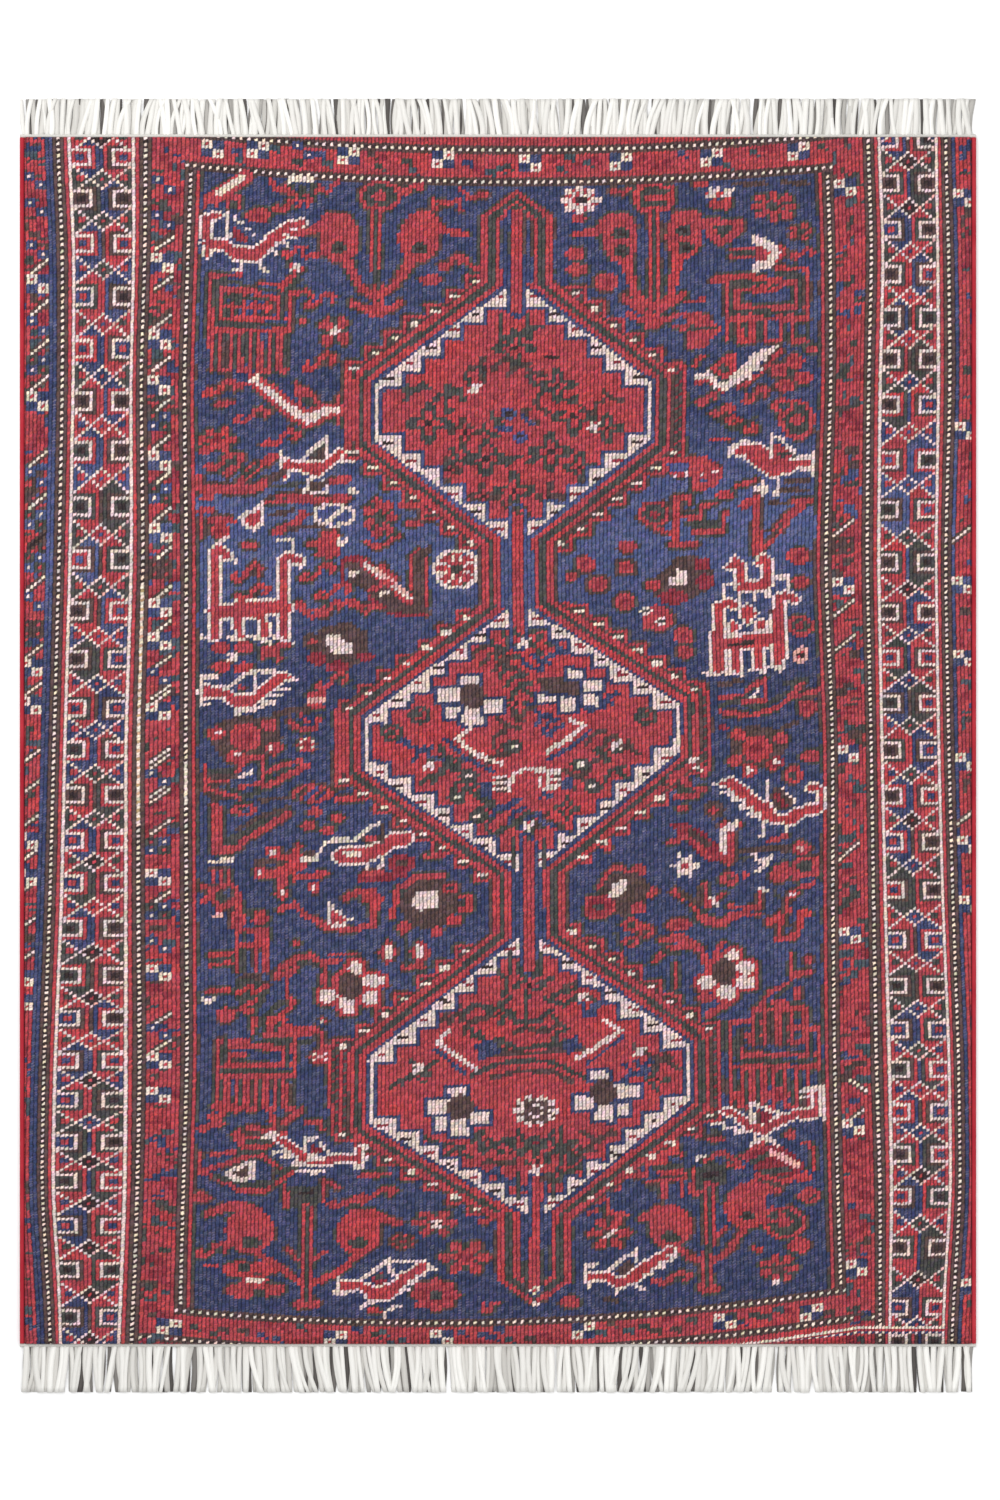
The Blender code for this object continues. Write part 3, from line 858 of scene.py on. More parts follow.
squiggle(43.4, 53.9, 2.2, 1)
flower(52.5, 51.8, 2.6, 2.3, RED, GREEN, 8, IVORY)
tie(rim(oval(52.5, 51.8, 2.3, 2.05)), IVORY)
bars(BROWN, 0.5, (0, 0, 1.4, 0), (44, 56.9), (46, 56.9), (48, 56.9))

# Brown flower with an ivory block
patch(BROWN, 36, 59, 39.6, 58.2, 42, 59.6, 41.8, 62.6, 39.8, 63.7, 36.4, 63.2, 35, 61.6)
each(disc, (35.2, 60.6, 1.3, 1, BROWN, RED), (35.8, 62.6, 1.2, 0.8, MADDER), (41.6, 62.4, 1, 0.6, MADDER),
    (38.2, 63.6, 1.4, 0.7, MADDER))
patch(IVORY, 37, 59.8, 38.6, 59.7, 39, 60.6, 40.1, 60.8, 39.9, 62.1, 37.8, 62.2, 37, 61.2)
dots((1.15, 0.75), (24.2, 61.3), (27, 61.3), (24.4, 63.6), (27, 63.8))
star(25.6, 62.5)
limb(RED, 0.8, 29.2, 62.3, 30.8, 61.8, 31.2, 62.6)
lines(RED, (29.4, 61.4, 32.6, 60.9))

# Bird with a framed crest
edged(taper((22.4, 66.6, 1.2), (24.6, 66.6, 1), (26, 67.7, 1.3), (27.6, 67.8, 1.3), (29.6, 66.4, 1.2),
    (31.2, 65, 1), (32.4, 64.8, 0.5)))
fine(IVORY, (21.9, 64.8, 21.9, 68.2, 22.6, 68.2), (21.9, 64.8, 23.8, 64.8),
    (24.8, 66.1, 27.9, 64.1, 31.4, 64.2), (28.2, 64.2, 28.3, 66.6), (32, 65.2, 33.4, 65.2),
    (25.8, 69.2, 29.4, 68.4))
fine(RED, (26.4, 65.8, 26.8, 66.2))
bars(IVORY, 0.5, (-1, 0, 0.3, -0.1), (30.2, 68), (31.4, 67.1), (32, 66.3))
squiggle(37.6, 65.3, 3.8, 1.9)
lines(RED, (34.6, 67, 36.6, 66.9), (34.8, 68.4, 36.4, 68.4))
fine(ROSE, (34.6, 67.7, 36.6, 67.6))
limb(BROWN, 0.8, 30.8, 69.4, 33, 68.8, 34.8, 68.9)

# Turtle
patch(BROWN, 23.6, 70.4, 26.8, 69.3, 30.4, 70, 31.6, 72, 30.6, 74.4, 27.4, 75.2, 24.4, 74.6, 23, 72.6)
disc(27.2, 72, 1.9, 1.7, RED, MADDER)
dots((1.1, 0.8), (23.6, 71.6), (30.6, 73.4), (26, 74.4), (30, 70.6))
dots((0.4, 0.35, IVORY), (23.9, 71.5), (26.2, 74.1), (30.2, 73.4))
lines(RED, (32.5, 70.2, 33.4, 71, 35.6, 71, 36, 69.9))
fine(RED, (33.8, 69.4, 34.6, 70.2))
flower(34.5, 73, 1.3, 0.95, RED, MADDER, 6, IVORY)

# Right of the field: bird with a long tail
edged(taper((86, 37.6, 0.9), (87.2, 37.2, 1.3), (88.6, 38.2, 2.3), (90.4, 39.6, 2.3), (91.8, 39.7, 1.5),
    (93.2, 39.2, 1), (94.8, 38.9, 0.8)))
fine(IVORY, (85.2, 38.1, 86.2, 37, 87.8, 36.6), (95.3, 38, 95.4, 40.7), (94, 38.6, 95.3, 38.3),
    (94, 39.8, 95.3, 40), (90.1, 38.6, 90.3, 35.6, 91.4, 36.3, 93.4, 38.2),
    (89.4, 41.3, 89.6, 42.6, 89, 43.1), (91, 41.3, 91.2, 42.7, 90.4, 42.9), (88.4, 42.2, 89.4, 42.2))
patches(RED, (90.7, 38.9, 90.8, 36.8, 91.8, 37.1, 92.8, 38.4, 92, 39),
    (76.8, 38.6, 82.6, 38.4, 84.2, 39.4, 84.6, 40.6, 83.4, 42.2, 80.6, 42.6, 81, 41, 78.4, 40.8),
    (74.8, 57.2, 76.2, 56, 78.2, 56.6, 78.4, 58.4, 77, 59.4, 75, 58.9))
each(disc, (91.7, 38.1, 0.5, 0.4, GREEN), (84.8, 43, 1.2, 0.6), (73, 49.1, 1.2, 0.75))
patches(SKY, (77.8, 39.1, 80.6, 39.1, 80.2, 40.1, 78, 40), (81.4, 41, 83, 41, 82.2, 41.8))
dots((0.35, 0.25, IVORY), (78.8, 40.6), (80.2, 40.4), (82, 40.6), (83.5, 40.2))
lines(RED, (86.2, 41.9, 88.4, 41.2), (79, 43.2, 80.4, 43.2, 80.6, 44.2),
    (79.6, 45.6, 82, 45.6, 82, 44.2, 83.6, 44), (81, 47.4, 84.6, 47.2, 84.8, 45), (78.2, 48.9, 81.2, 48.8),
    (76.4, 47, 78.2, 47.6))
limb(BROWN, 0.8, 92, 41.4, 94.8, 41.3)
fine(BROWN, (91.6, 42.4, 94.8, 42.4), (79.9, 44.9, 81, 44.9))
limbs(RED, 0.8, (79, 43.2, 79, 48.4), (93, 43.8, 95.2, 43.6))
lines(GREEN, (80, 46.4, 83.6, 46.3))
each(ring, (76.2, 45.2, 1.9, 1.6, RED, GREEN, MADDER), (93.8, 58.7, 1.7, 1.3, RED, GREEN, MADDER),
    (93.9, 62.2, 0.95, 1.1, ROSE, RED, BLACK))
limbs(RED, 1.1, (87, 44.3, 88.6, 43.4, 88.6, 50), (88.8, 49.6, 90.6, 47.8, 92.4, 45.6, 94.2, 43.9))
fine(BROWN, (89.6, 48.6, 91.6, 46.6), (90, 43.9, 92.2, 43.9))
dots((1.2, 0.96, RED, MADDER), (68, 51.2), (94.6, 68.5))
dots((1, 0.8, RED, MADDER), (80, 61.8), (93.8, 53.4))
each(disc, (66.3, 52.8, 0.7, 0.56, RED, MADDER), (69.5, 53.7, 1.1, 0.88, RED, MADDER, BROWN),
    (72.9, 51.7, 1, 0.8, RED, MADDER, BROWN), (72.7, 55.8, 1.3, 1.04, RED, MADDER),
    (79.8, 59.9, 1.25, 1, RED, MADDER), (93.6, 50.3, 1.4, 1.12, RED, MADDER))
patch(BROWN, 77.4, 52, 79, 50.4, 82.2, 50.4, 83.6, 52.4, 82.4, 54.6, 79.6, 56, 76.4, 55.2, 75.6, 53.2)
each(disc, (82, 51.2, 1, 0.8, MADDER), (82.4, 53.4, 1.1, 1, MADDER), (78.6, 55.2, 1.8, 0.9, MADDER),
    (76.2, 53.8, 0.9, 0.7), (75.3, 56.9, 0.7, 0.55, IVORY, GREEN), (77.1, 58.1, 0.65, 0.5, IVORY, GREEN))
patch(IVORY, 78.8, 51.9, 80.2, 51.9, 80, 53.8, 78.2, 54, 77.6, 53, 78.6, 52.9)

# Two-headed beast with a small one on its back
edged(strokes((1.15, 84, 56.4, 83.9, 63.9), (1.15, 91.2, 55.4, 91.2, 63.3), (1.5, 84, 60.7, 91.2, 60.2),
    (0.8, 84, 56.4, 85, 55.8, 85.9, 56.3), (0.8, 91.2, 55.6, 92, 54.9, 93.2, 55.4),
    (0.95, 86.2, 60.8, 86.2, 63.8), (0.95, 88.8, 60.6, 88.8, 63.5)))
bars(IVORY, 0.5, (0, 0, 1.8, 0.1), (82, 64.4), (85, 64.4), (87.6, 64), (90.2, 63.6))
patch(NAVY, 85.3, 57.2, 90.2, 56.6, 90.2, 59.4, 85.3, 59.8)
for x, y, r in ((87.5, 57.2, 1.1), (85.8, 58.9, 0.7), (89.1, 58.5, 0.7)):
    edged(inside(((x - r, y), (x, y - r), (x + r, y), (x, y + r))))
lines(IVORY, (84.8, 59.8, 90.4, 59.3))
fine(BLACK, (85.2, 61, 87.9, 60.7))
small = strokes((0.9, 86.6, 51.4, 86.8, 54), (0.9, 89.9, 51.2, 90, 53.6), (1.1, 86.8, 54, 89.8, 53.6))
small |= inside(pairs((84.8, 51.7, 86, 50.3, 87.1, 51.4, 86.4, 51.9)))
small |= inside(pairs((88, 51.5, 89.3, 50.2, 90.4, 50.9, 90, 51.7, 89, 51.2)))
edged(small)
fine(IVORY, (84.7, 55.2, 84.8, 53.7, 86.2, 53.6), (90.4, 52.9, 92.2, 52.8, 92.2, 54.6),
    (86.6, 54.9, 86.6, 55.6), (88.2, 54.9, 88.2, 55.6), (89.9, 54.6, 89.9, 55.2), (86, 71.3, 86.8, 71.7))
lines(GREEN, (84, 68.2, 86.4, 67.8, 88.8, 68.6, 91, 67.4, 93.4, 66.2), (91.8, 65.6, 94.6, 65))
lines(RED, (84, 67.4, 86.6, 66.9, 88, 66, 89.6, 65, 89.6, 67.6, 87, 67.8),
    (84.2, 69, 88, 69.5, 91.6, 68.2, 94, 65.6), (93, 67.2, 96, 66.4))
lines(SKY, (84.4, 66.6, 86.8, 66.4))
patch(IVORY, 87.4, 67.3, 88.7, 66.2, 88.7, 67.2)
lines(BROWN, (84, 65.7, 86.6, 65.3), (91.6, 71, 93.6, 70.2))
patch(BROWN, 85.6, 71.6, 88, 70.4, 91.4, 71.2, 92.2, 73.4, 90.4, 75.6, 87, 76, 85.2, 74)
each(disc, (88.6, 73.4, 1.8, 1.6, RED, MADDER), (84.6, 70.8, 0.6, 0.4, MADDER))
dots((0.9, 0.7), (86.4, 71.7), (91.4, 72.2), (86, 74.8), (90.6, 75.2))

# Left of the field, middle: leaf bands, berries, a bird with a long thin line, hooks and flowers
lines(RED, (22.2, 75.3, 22.2, 78.4), (22.4, 77.2, 25.2, 77.2, 27.6, 74.6, 29.4, 74.2, 29.4, 77.6, 26.4, 78),
    (30, 76.2, 31.6, 75.4, 34, 74.8), (38.2, 79.5, 40.4, 79.5),
    (22, 90, 23.6, 90.4, 25.2, 89.6, 26.6, 90.8))
lines(GREEN, (22.8, 76.2, 25.6, 76), (25.2, 78.2, 27.6, 79.2, 30.6, 77.6, 33.4, 75.6))
lines(BROWN, (23, 76.8, 26, 76.8), (28.6, 87, 30.6, 86.9))
patch(SKY, 26.4, 77, 28, 75.8, 28.2, 76.8)
fine(IVORY, (26.6, 76.9, 28, 76.2))
limbs(RED, 0.8, (29.6, 78, 31.6, 77, 34.6, 75.4), (23.6, 85.8, 26.4, 85.4),
    (26.6, 84.6, 29.2, 83.2, 32.4, 81.2), (22, 91.8, 23.4, 90.8, 24, 92.8, 26.2, 91.4, 26.4, 93),
    (31, 86.4, 32.6, 86.6, 33.6, 85.2), (33, 89, 35.6, 88.6, 36.8, 88.4),
    (31.4, 92.6, 33, 92.2, 34.4, 93.4, 37, 94.8, 40, 95.2, 42.2, 94.6))
fine(RED, (22.8, 78.2, 26.6, 79.4))
fine(BROWN, (22.6, 79.2, 25.6, 79.4), (29, 79.6, 32.4, 79.4))
disc(35.2, 78.8, 2.5, 1.1)
bars(NAVY, 0.5, (-0.5, 0, 0.7, -1.2), (33.8, 79.4), (36.2, 79.4))
fine(SKY, (34.5, 79.4, 35.7, 78.2))
each(disc, (27, 80.8, 1.6, 0.7, RED, NAVY), (24.2, 91.3, 0.8, 0.6, GREEN), (30.5, 85.8, 1, 0.8, RED, IVORY),
    (29, 88.3, 1, 0.8, RED, IVORY), (31.6, 90.8, 0.9, 0.8, RED, IVORY), (35.4, 90.1, 0.8, 0.7, RED, IVORY))
limbs(RED, 1.1, (23.7, 80.5, 23.7, 85.4), (29.6, 88.4, 32, 88.2, 34.2, 87.4),
    (31.6, 89.6, 31.8, 88.2, 33.6, 86.6))
limb(GREEN, 0.8, 25.4, 84.4, 28, 83, 31, 80.9)
fine(BROWN, (26.2, 83.2, 28.8, 81.6, 32.6, 80.4))
dots((0.9, 0.6), (35.6, 81), (38.2, 81.7), (34.7, 82.7), (37.1, 83.2))
lines(CREAM, (23, 87.1, 25.4, 86.8))
limb(BROWN, 0.8, 23.2, 87.9, 24.8, 87.9)
posts(RED, 0.5, 88.2, 89.4, 23.2, 24.2, 25.2)
fine(ROSE, (23.4, 93.5, 24.2, 93.3))

# Bird with a framed crest and a thin line behind it
edged(taper((38.6, 86.3, 1.5), (41.6, 86.2, 1.6), (43.2, 85.6, 1.5), (45, 84.4, 1.4), (46.4, 84.2, 1.4)))
fine(CREAM, (39.2, 86.1, 40.8, 86.1), (33.8, 86.7, 35.6, 86.7, 36.8, 84.6, 39.6, 84.3),
    (40, 84.6, 42.4, 82.8, 43.4, 82.4))
fine(BROWN, (34.4, 86, 35.4, 86))
lines(BROWN, (43.6, 82.6, 43.5, 84.6))
each(disc, (42.2, 84.2, 0.6, 0.4), (46, 87.2, 1.7, 1.1, MADDER, BROWN))
fine(IVORY, (43, 88, 43.8, 86.9), (41.6, 88.1, 42, 87.2))
fine(RED, (48.6, 86.4, 51, 86.3))
limb(MADDER, 0.8, 41, 89, 44, 88.9, 46.4, 88.6)
lines(RED, (41.2, 88.4, 43.6, 88.3))

# Dotted wing, hook bird and comb beast
wing = inside(pairs((36.8, 91.8, 39.8, 94, 38.6, 94.9, 37, 94.5)))
tie(wing, RED)
tie(wing & rim(~wing) & ((column_of + row_of) % 2 == 0), IVORY)
dots((0.34, 0.24, IVORY), (37.6, 92.3), (38.4, 92.9), (39.2, 93.5), (39.9, 94), (37.2, 94.2), (37.9, 94.8),
    (38.8, 94.7))
fine(IVORY, (37, 92, 37.1, 94))
limbs(RED, 0.8, (39.2, 91.4, 40.6, 90.6, 42, 90.4, 43.4, 91.6, 42.8, 93),
    (42.4, 90.4, 42.6, 94.6, 40.6, 95), (26.4, 95.4, 29.6, 95.2))
each(disc, (41.9, 91.2, 1, 0.9), (33.4, 96.8, 0.5, 0.35), (26.3, 94, 1.1, 1.1, RED, MADDER),
    (28.9, 93.8, 1, 0.9), (27.8, 93.2, 0.5, 0.6, GREEN))
fine(RED, (37.2, 98.2, 40.4, 98))
posts(RED, 0.62, 95.6, 100.2, 26.2, 28.6, 29.6)
posts(GREEN, 0.62, 95.6, 100.2, 27.2)
lines(RED, (26.2, 97, 29.6, 96.8), (22.9, 98.2, 25.4, 98), (22.9, 99.4, 25.4, 99.2))

# Brown flower, ivory berries and ivory-petalled flower
patches(BROWN, (46.6, 90.4, 48.6, 88.8, 52.2, 89.6, 53, 92.2, 51.6, 94.6, 48.8, 95.2, 46.4, 94, 45.4, 92.2),
    (26.2, 100.6, 29, 100.4, 29.2, 101.4, 26.2, 101.6))
limbs(RED, 0.8, (44.8, 93.6, 45.4, 90.4, 47.4, 88.9, 51, 88.7),
    (31.2, 99.9, 33, 98.7, 35, 98.3, 36.8, 99.6, 36.6, 101.6), (30.8, 100.8, 32.4, 100.4, 33.4, 99.6))
each(disc, (51.7, 90.2, 1, 0.7, RED, GREEN), (52.2, 94, 0.9, 0.7), (46.2, 94.9, 0.8, 0.9),
    (50.2, 95.5, 0.8, 0.7), (24.8, 105.4, 1.2, 0.9), (36.5, 106.1, 0.5, 0.35, RED, IVORY))
lines(RED, (53, 91.2, 54, 91.2, 54, 92.8, 53, 92.8), (46, 99.6, 48.6, 99.7),
    (32.2, 100.6, 32.2, 103.2, 33.2, 103.8), (36.4, 99, 38.4, 98.9), (22.6, 102.6, 25.6, 102.4),
    (26.4, 104.8, 28.2, 105), (30, 106.6, 32.6, 104.6, 32.6, 103.4))
patch(IVORY, 47.8, 90.6, 50.4, 90.6, 50.2, 92.4, 48, 93, 46.9, 92)
limb(BROWN, 0.8, 47.6, 93.9, 49.6, 93.9)
for x, wide in ((44.3, 1.2), (48.2, 1.5)):
    patch(RED, x - wide, 97.8, x, 96.2, x + wide, 97.8, x, 99.6)
    patch(IVORY, x - 0.55, 97, x + 0.5, 97, x + 0.5, 98.6, x - 0.4, 98.6)
lines(GREEN, (46.4, 95.8, 46.4, 99.2), (33.6, 99.2, 35.8, 99.4), (29, 105.8, 31.6, 103.8))
PETALS = (
    # x, y of the heart, then x, y, half width, half height of each petal
    ((39.7, 101.9), ((40.4, 99.8, 0.9, 0.8), (42.4, 101.3, 1.6, 0.75), (42.2, 103.3, 1, 0.85),
                     (39.5, 104.1, 1, 1.2), (37.1, 103.1, 1.1, 0.8))),
    ((84.6, 100.2), ((85.7, 98.2, 0.9, 0.6), (87.3, 99.7, 1.2, 0.8), (87.2, 101.5, 1.2, 0.8),
                     (84.9, 102.6, 1.1, 1.1), (82.6, 101.5, 1.1, 0.8))),
)
for (x, y), petals in PETALS:
    tie(grown(oval(x, y, 1.9, 1.7)), RED)
    for px, py, wide, tall in petals:
        tie(grown(oval(px, py, wide, tall)), RED)
    for px, py, wide, tall in petals:
        tie(oval(px, py, wide, tall), IVORY)
    tie(oval(x, y, 1.5, 1.6), BROWN)
fine(IVORY, (21.9, 103.4, 22.9, 103.9, 23.4, 103.5))
patch(GREEN, 26, 101, 28.6, 101.2, 30.2, 102.4, 29, 104.6, 26.6, 104.4, 25.6, 102.6)
bars(RED, 0.6, (-0.9, 0.5, 0.9, -0.4), (27, 102.4), (29, 102.2), (27.6, 104))

# Comb beast, lower left
comb_animal(23.8, 33, 111.4, 116.6, (32.4, 107, 35.6, 107.2), 1, 4, 3.6)
limbs(RED, 0.8, (28, 107.6, 28.2, 106), (30, 107.6, 30.2, 105.8), (31.6, 107.4, 31.8, 106))
fine(GREEN, (24.6, 107.6, 24.6, 110.6))
lines(RED, (25.4, 109.2, 30.2, 109), (32.6, 109.6, 33.4, 107.8, 36.2, 107.4, 36.6, 109.4))
lines(GREEN, (33.6, 108.8, 35.6, 108.4))

# Right of the field, middle
each(disc, (93, 76.6, 1.2, 1.1, RED, GREEN), (95, 74.3, 1.2, 0.8), (91, 75, 1, 0.7, MADDER, IVORY),
    (87.6, 76, 0.5, 0.4, IVORY, None, RED), (83.4, 80.8, 1.4, 1.1, BROWN, RED),
    (79.8, 80.6, 0.8, 0.45), (84.6, 86.5, 0.4, 0.3, IVORY), (79.9, 87.5, 1.1, 0.9, IVORY),
    (85.3, 89, 1.3, 0.8, RED, BROWN), (87.2, 88.6, 0.5, 0.4), (93.9, 85.4, 1.1, 0.8, RED, ROSE),
    (94.4, 87.6, 1, 0.9, GREEN, None, RED), (89.3, 90.4, 0.6, 0.4, IVORY),
    (92.9, 90.9, 0.7, 0.6, RED, IVORY), (74.4, 88, 0.9, 0.7), (75.6, 90.6, 0.9, 0.7))
fine(IVORY, (80.6, 74.9, 81.6, 74.7), (83.2, 77.8, 85.2, 77.1), (89.9, 77.2, 89.9, 79.6),
    (89.5, 82.3, 89.5, 83.6, 89, 84), (92.3, 82.6, 92.2, 83.6), (78.3, 87.5, 81.5, 87.5),
    (79.3, 86.2, 80.6, 88.8), (80.6, 86.2, 79.3, 88.8))
lines(RED, (82, 75.4, 82.6, 76.4), (90, 84.5, 92.2, 83.9), (78.6, 79.2, 81.6, 79.2),
    (93.4, 90.2, 95.4, 89.6), (69.6, 90, 71, 88, 72.2, 87.6, 73.2, 88.4),
    (85.2, 92.4, 88.9, 92.6, 88.9, 90.6), (85.6, 93.4, 88.8, 93.3), (82.2, 89.6, 82.4, 92.4, 84.6, 90.9),
    (92.2, 91.6, 92.4, 93), (83.6, 98, 84.6, 96.6), (75.4, 102.6, 77, 103.4),
    (92.8, 98.2, 92.8, 101.4, 90, 102.8, 88.8, 104.8))
edged(inside(pairs((84.2, 77.4, 85.9, 77.1, 87.6, 78.5, 89.2, 79.7, 89.8, 79.9, 90.8, 81.3, 92.1, 81.5,
    93.3, 80.6, 96, 80.1, 96, 78.5, 94.9, 78.5, 94.9, 77.9, 96.5, 77.9, 96.5, 80.9, 94.5, 81.4, 93.1, 82.5,
    92.6, 82.6, 91.9, 82.2, 89.6, 82.1, 88.9, 81.4, 87.6, 80.4, 86.4, 79.2, 85.1, 78.1, 84.2, 77.7))))
bars(IVORY, 0.5, (-0.9, 0.1, 0.5, 0.2), (85.4, 78.6), (86.4, 79.4), (87.4, 80.3), (88.4, 81.2))
patch(BROWN, 90.2, 79.3, 90.4, 78.2, 91.3, 78, 93.1, 79.9, 92.2, 80.9, 91, 80.9)
patches(MADDER, (90.5, 79.5, 90.6, 78.6, 91.4, 78.8, 91.5, 79.4, 92.4, 80.2, 91.6, 80.5, 91.2, 79.8),
    (78.2, 82.6, 80, 82.1, 82.4, 83.6, 84.4, 85.4, 84.6, 86.8, 82.6, 86.9, 80.2, 84.6))
dots((0.26, 0.24, IVORY), (91.6, 78.3), (92.1, 78.8), (92.6, 79.2), (93.1, 79.6))
lines(BROWN, (77.6, 77.6, 80.6, 77.3))
limbs(RED, 0.8, (78.2, 77.4, 79, 76.2, 81, 78.6, 82.4, 78.2), (78.2, 84.6, 80.6, 83.8, 82.6, 86.4),
    (85, 82.6, 86.4, 82.4), (93.2, 88.8, 95.6, 88.4, 95.6, 86.6),
    (78.6, 90.6, 80.6, 91.6, 81.8, 93.6, 84.2, 94.2, 86.4, 93.2),
    (89.8, 94.4, 91.4, 93.4, 91.2, 96.4, 93.6, 95.8, 93.8, 93, 95, 93.2),
    (76.4, 98.9, 78.2, 97.4, 80, 97, 82, 97.6, 82.4, 99.2), (77, 96.4, 79.6, 96, 81.4, 97.2),
    (78.8, 99.4, 78.9, 101.8), (93, 100.6, 95, 100.2))
lines(GREEN, (79, 78.4, 80.8, 78.4), (86.8, 86.6, 88.4, 86.4), (90.6, 90.6, 91.6, 91.4),
    (71.6, 95.6, 72.4, 97.4), (77.4, 97.8, 79.4, 98), (90.8, 103.2, 92.6, 101.8))
limbs(BROWN, 0.8, (80.6, 83.4, 82.8, 85), (86.6, 85.6, 92.4, 85.4), (79.2, 90.3, 81.6, 92.4, 81.8, 90.2))
limb(RED, 1.6, 85, 82.9, 85, 86.6)
limb(IVORY, 0.95, 86, 82.5, 84.7, 83.2, 84.7, 85.6)
lines(IVORY, (88.2, 86.2, 89.2, 87.1, 90.4, 86.4), (89.8, 87.2, 88.6, 88.2), (83, 91.3, 83.8, 92.2))
patch(RED, 90.6, 87.6, 92.4, 86.8, 92.8, 88.6, 91.4, 89.6, 89.8, 89)
patch(BROWN, 70, 90.2, 71.2, 88.6, 74.4, 88.2, 75.8, 90, 75, 92.2, 73, 93.6, 70.4, 93.4, 69.4, 91.8)
each(disc, (69.6, 92.4, 1.4, 1.1, MADDER, GREEN, RED), (74.4, 92.6, 1.1, 0.7),
    (73.5, 94.6, 1.2, 0.9, RED, GREEN), (75.2, 95.4, 1, 0.8, RED, BROWN),
    (73.4, 96.6, 1.1, 0.7, RED, GREEN), (79.2, 94.6, 1.6, 0.8, RED, MADDER), (94.7, 98.7, 0.6, 0.5),
    (82.4, 103.4, 1, 0.6), (79.9, 87.5, 0.5, 0.4), (91.4, 104, 1.2, 0.6), (93.4, 102.8, 0.6, 0.8))
patch(IVORY, 71.4, 89.4, 73.2, 89.2, 72.8, 90.6, 71.8, 91.4, 70.6, 91.2)
limb(RED, 1.1, 82.4, 94, 84.4, 94.4, 86, 93.4)
fine(BROWN, (92.2, 94.6, 93, 94.6))

# Comb beast, lower right
comb_animal(85.4, 96, 110.2, 116.4, (85, 104, 82.8, 105.4), -1, 4, 4)
posts(RED, 0.6, 104.8, 108.8, 88, 89.6, 91.2, 92.8, 94.4)
fine(GREEN, (88.8, 105.6, 88.8, 108.6), (92, 105.6, 92, 108.6))
lines(RED, (88, 104.8, 94.4, 104.6))
fine(BROWN, (86.6, 107.2, 86.8, 109.2))

# Left of the field, foot
each(flower, (36.1, 110.4, 1.2, 1, RED, ROSE, 6, IVORY), (49.9, 130.4, 2.8, 1.7, RED, BLACK, 6, GREEN),
    (46, 132.6, 1.8, 1.1, BROWN, MADDER, 8, RED), (53.6, 134.5, 3.3, 2.1, RED, MADDER, 6, GREEN),
    (50, 139, 3.2, 2.1, RED, GREEN, 8, MADDER))
each(squiggle, (24.6, 117.1, 3.6, 1.4), (22.9, 118.7, 2.8, 0.9), (42.9, 126.9, 4.8, 1.3),
    (39.4, 127.9, 4.4, 0.8), (23.2, 133.6, 4, 1.6))
each(disc, (24, 116.4, 0.9, 0.6), (21.9, 127.3, 1.1, 0.6), (27.7, 131.3, 3, 2.7),
    (27.8, 132.7, 1.2, 0.7, GREEN), (40.8, 131.5, 2.7, 2.7), (40.8, 132.8, 1.2, 0.6, GREEN),
    (33.6, 140.3, 0.7, 0.5), (35.6, 140.2, 0.7, 0.5))
lines(RED, (30.4, 117.4, 30.6, 119.2), (34.4, 118.4, 36.2, 118.3, 36.4, 119.2), (31.4, 119.6, 32.2, 119.6),
    (40.4, 120, 40.6, 121.8),
    (21.6, 122.2, 21.6, 124.2, 23.6, 124.8, 26.4, 126.4, 29.6, 126.6, 31.2, 125.4, 33.4, 124),
    (22, 124.2, 24.4, 123.4, 27.6, 122.4, 29.2, 122.4, 31.6, 123.9), (32, 125.8, 32.1, 128.4),
    (36.4, 125.4, 36.6, 127.6), (46, 137.4, 46.8, 136.8))
limbs(RED, 0.8, (31.8, 118.4, 33.8, 116.8), (28.6, 134, 31.2, 135.6, 33.8, 137.4),
    (41, 134, 38.4, 136.2, 35.2, 137.7), (33.4, 140.1, 35.6, 140.1))
patch(RED, 25.2, 119.6, 27.8, 118.5, 30.8, 119.2, 31.8, 120.4, 29.6, 121.6, 26.6, 121.4)
lines(BROWN, (26.8, 119.4, 29.2, 119.8), (30.4, 126.2, 30.8, 124))
lines(GREEN, (27.4, 120.6, 30, 120.6), (23.4, 124.6, 27, 125.8, 30.6, 125.4), (30.6, 124.4, 34, 123.4))
fine(RED, (23.2, 122.2, 26, 121.8), (26.6, 124.2, 27, 124.3), (32.2, 133.6, 33.4, 134.7),
    (35.6, 134.7, 36.8, 133.8), (37.2, 125.6, 38.6, 126.2), (41, 124.7, 44.4, 124.5),
    (22.2, 135.4, 23.6, 135.6))
bird = taper((30.4, 119.8, 0.5), (33, 121.6, 0.9), (34.6, 122.8, 1), (36.6, 123, 0.9), (38.4, 122.6, 0.8),
    (41, 122.6, 0.9))
bird |= strokes((0.6, 40.9, 121.6, 41, 123))
edged(bird)
fine(IVORY, (41.4, 122.4, 41.4, 123.8, 40.2, 123.6), (29.4, 120, 31, 119.9), (35.2, 124.4, 36.4, 124),
    (34.3, 121.8, 34.4, 120.3, 35.6, 120.2), (36.2, 120.9, 37.2, 122), (34.8, 122.6, 36.8, 122.6))
bars(IVORY, 0.5, (-0.5, 0.1, 0.9, 0), (30.9, 121.8), (32, 122.3), (33.2, 123.2), (34, 124.1))
patch(MADDER, 35, 121.8, 35.2, 120.9, 36.2, 121.4, 36.4, 122.1)
patch(IVORY, 24.4, 124.4, 27.2, 122.9, 28.4, 122.8, 28.4, 125.2, 26.2, 125.6)
patch(BROWN, 25.6, 124.4, 27.6, 123.4, 27.6, 124.8, 26.4, 125)
patch(GREEN, 32.6, 126, 36.2, 125.8, 36.2, 127.8, 35, 128.8, 33.2, 128.6, 32.4, 127.4)
fine(BLACK, (33.6, 126.8, 35.2, 126.7), (27.9, 137.4, 28.5, 137.2))
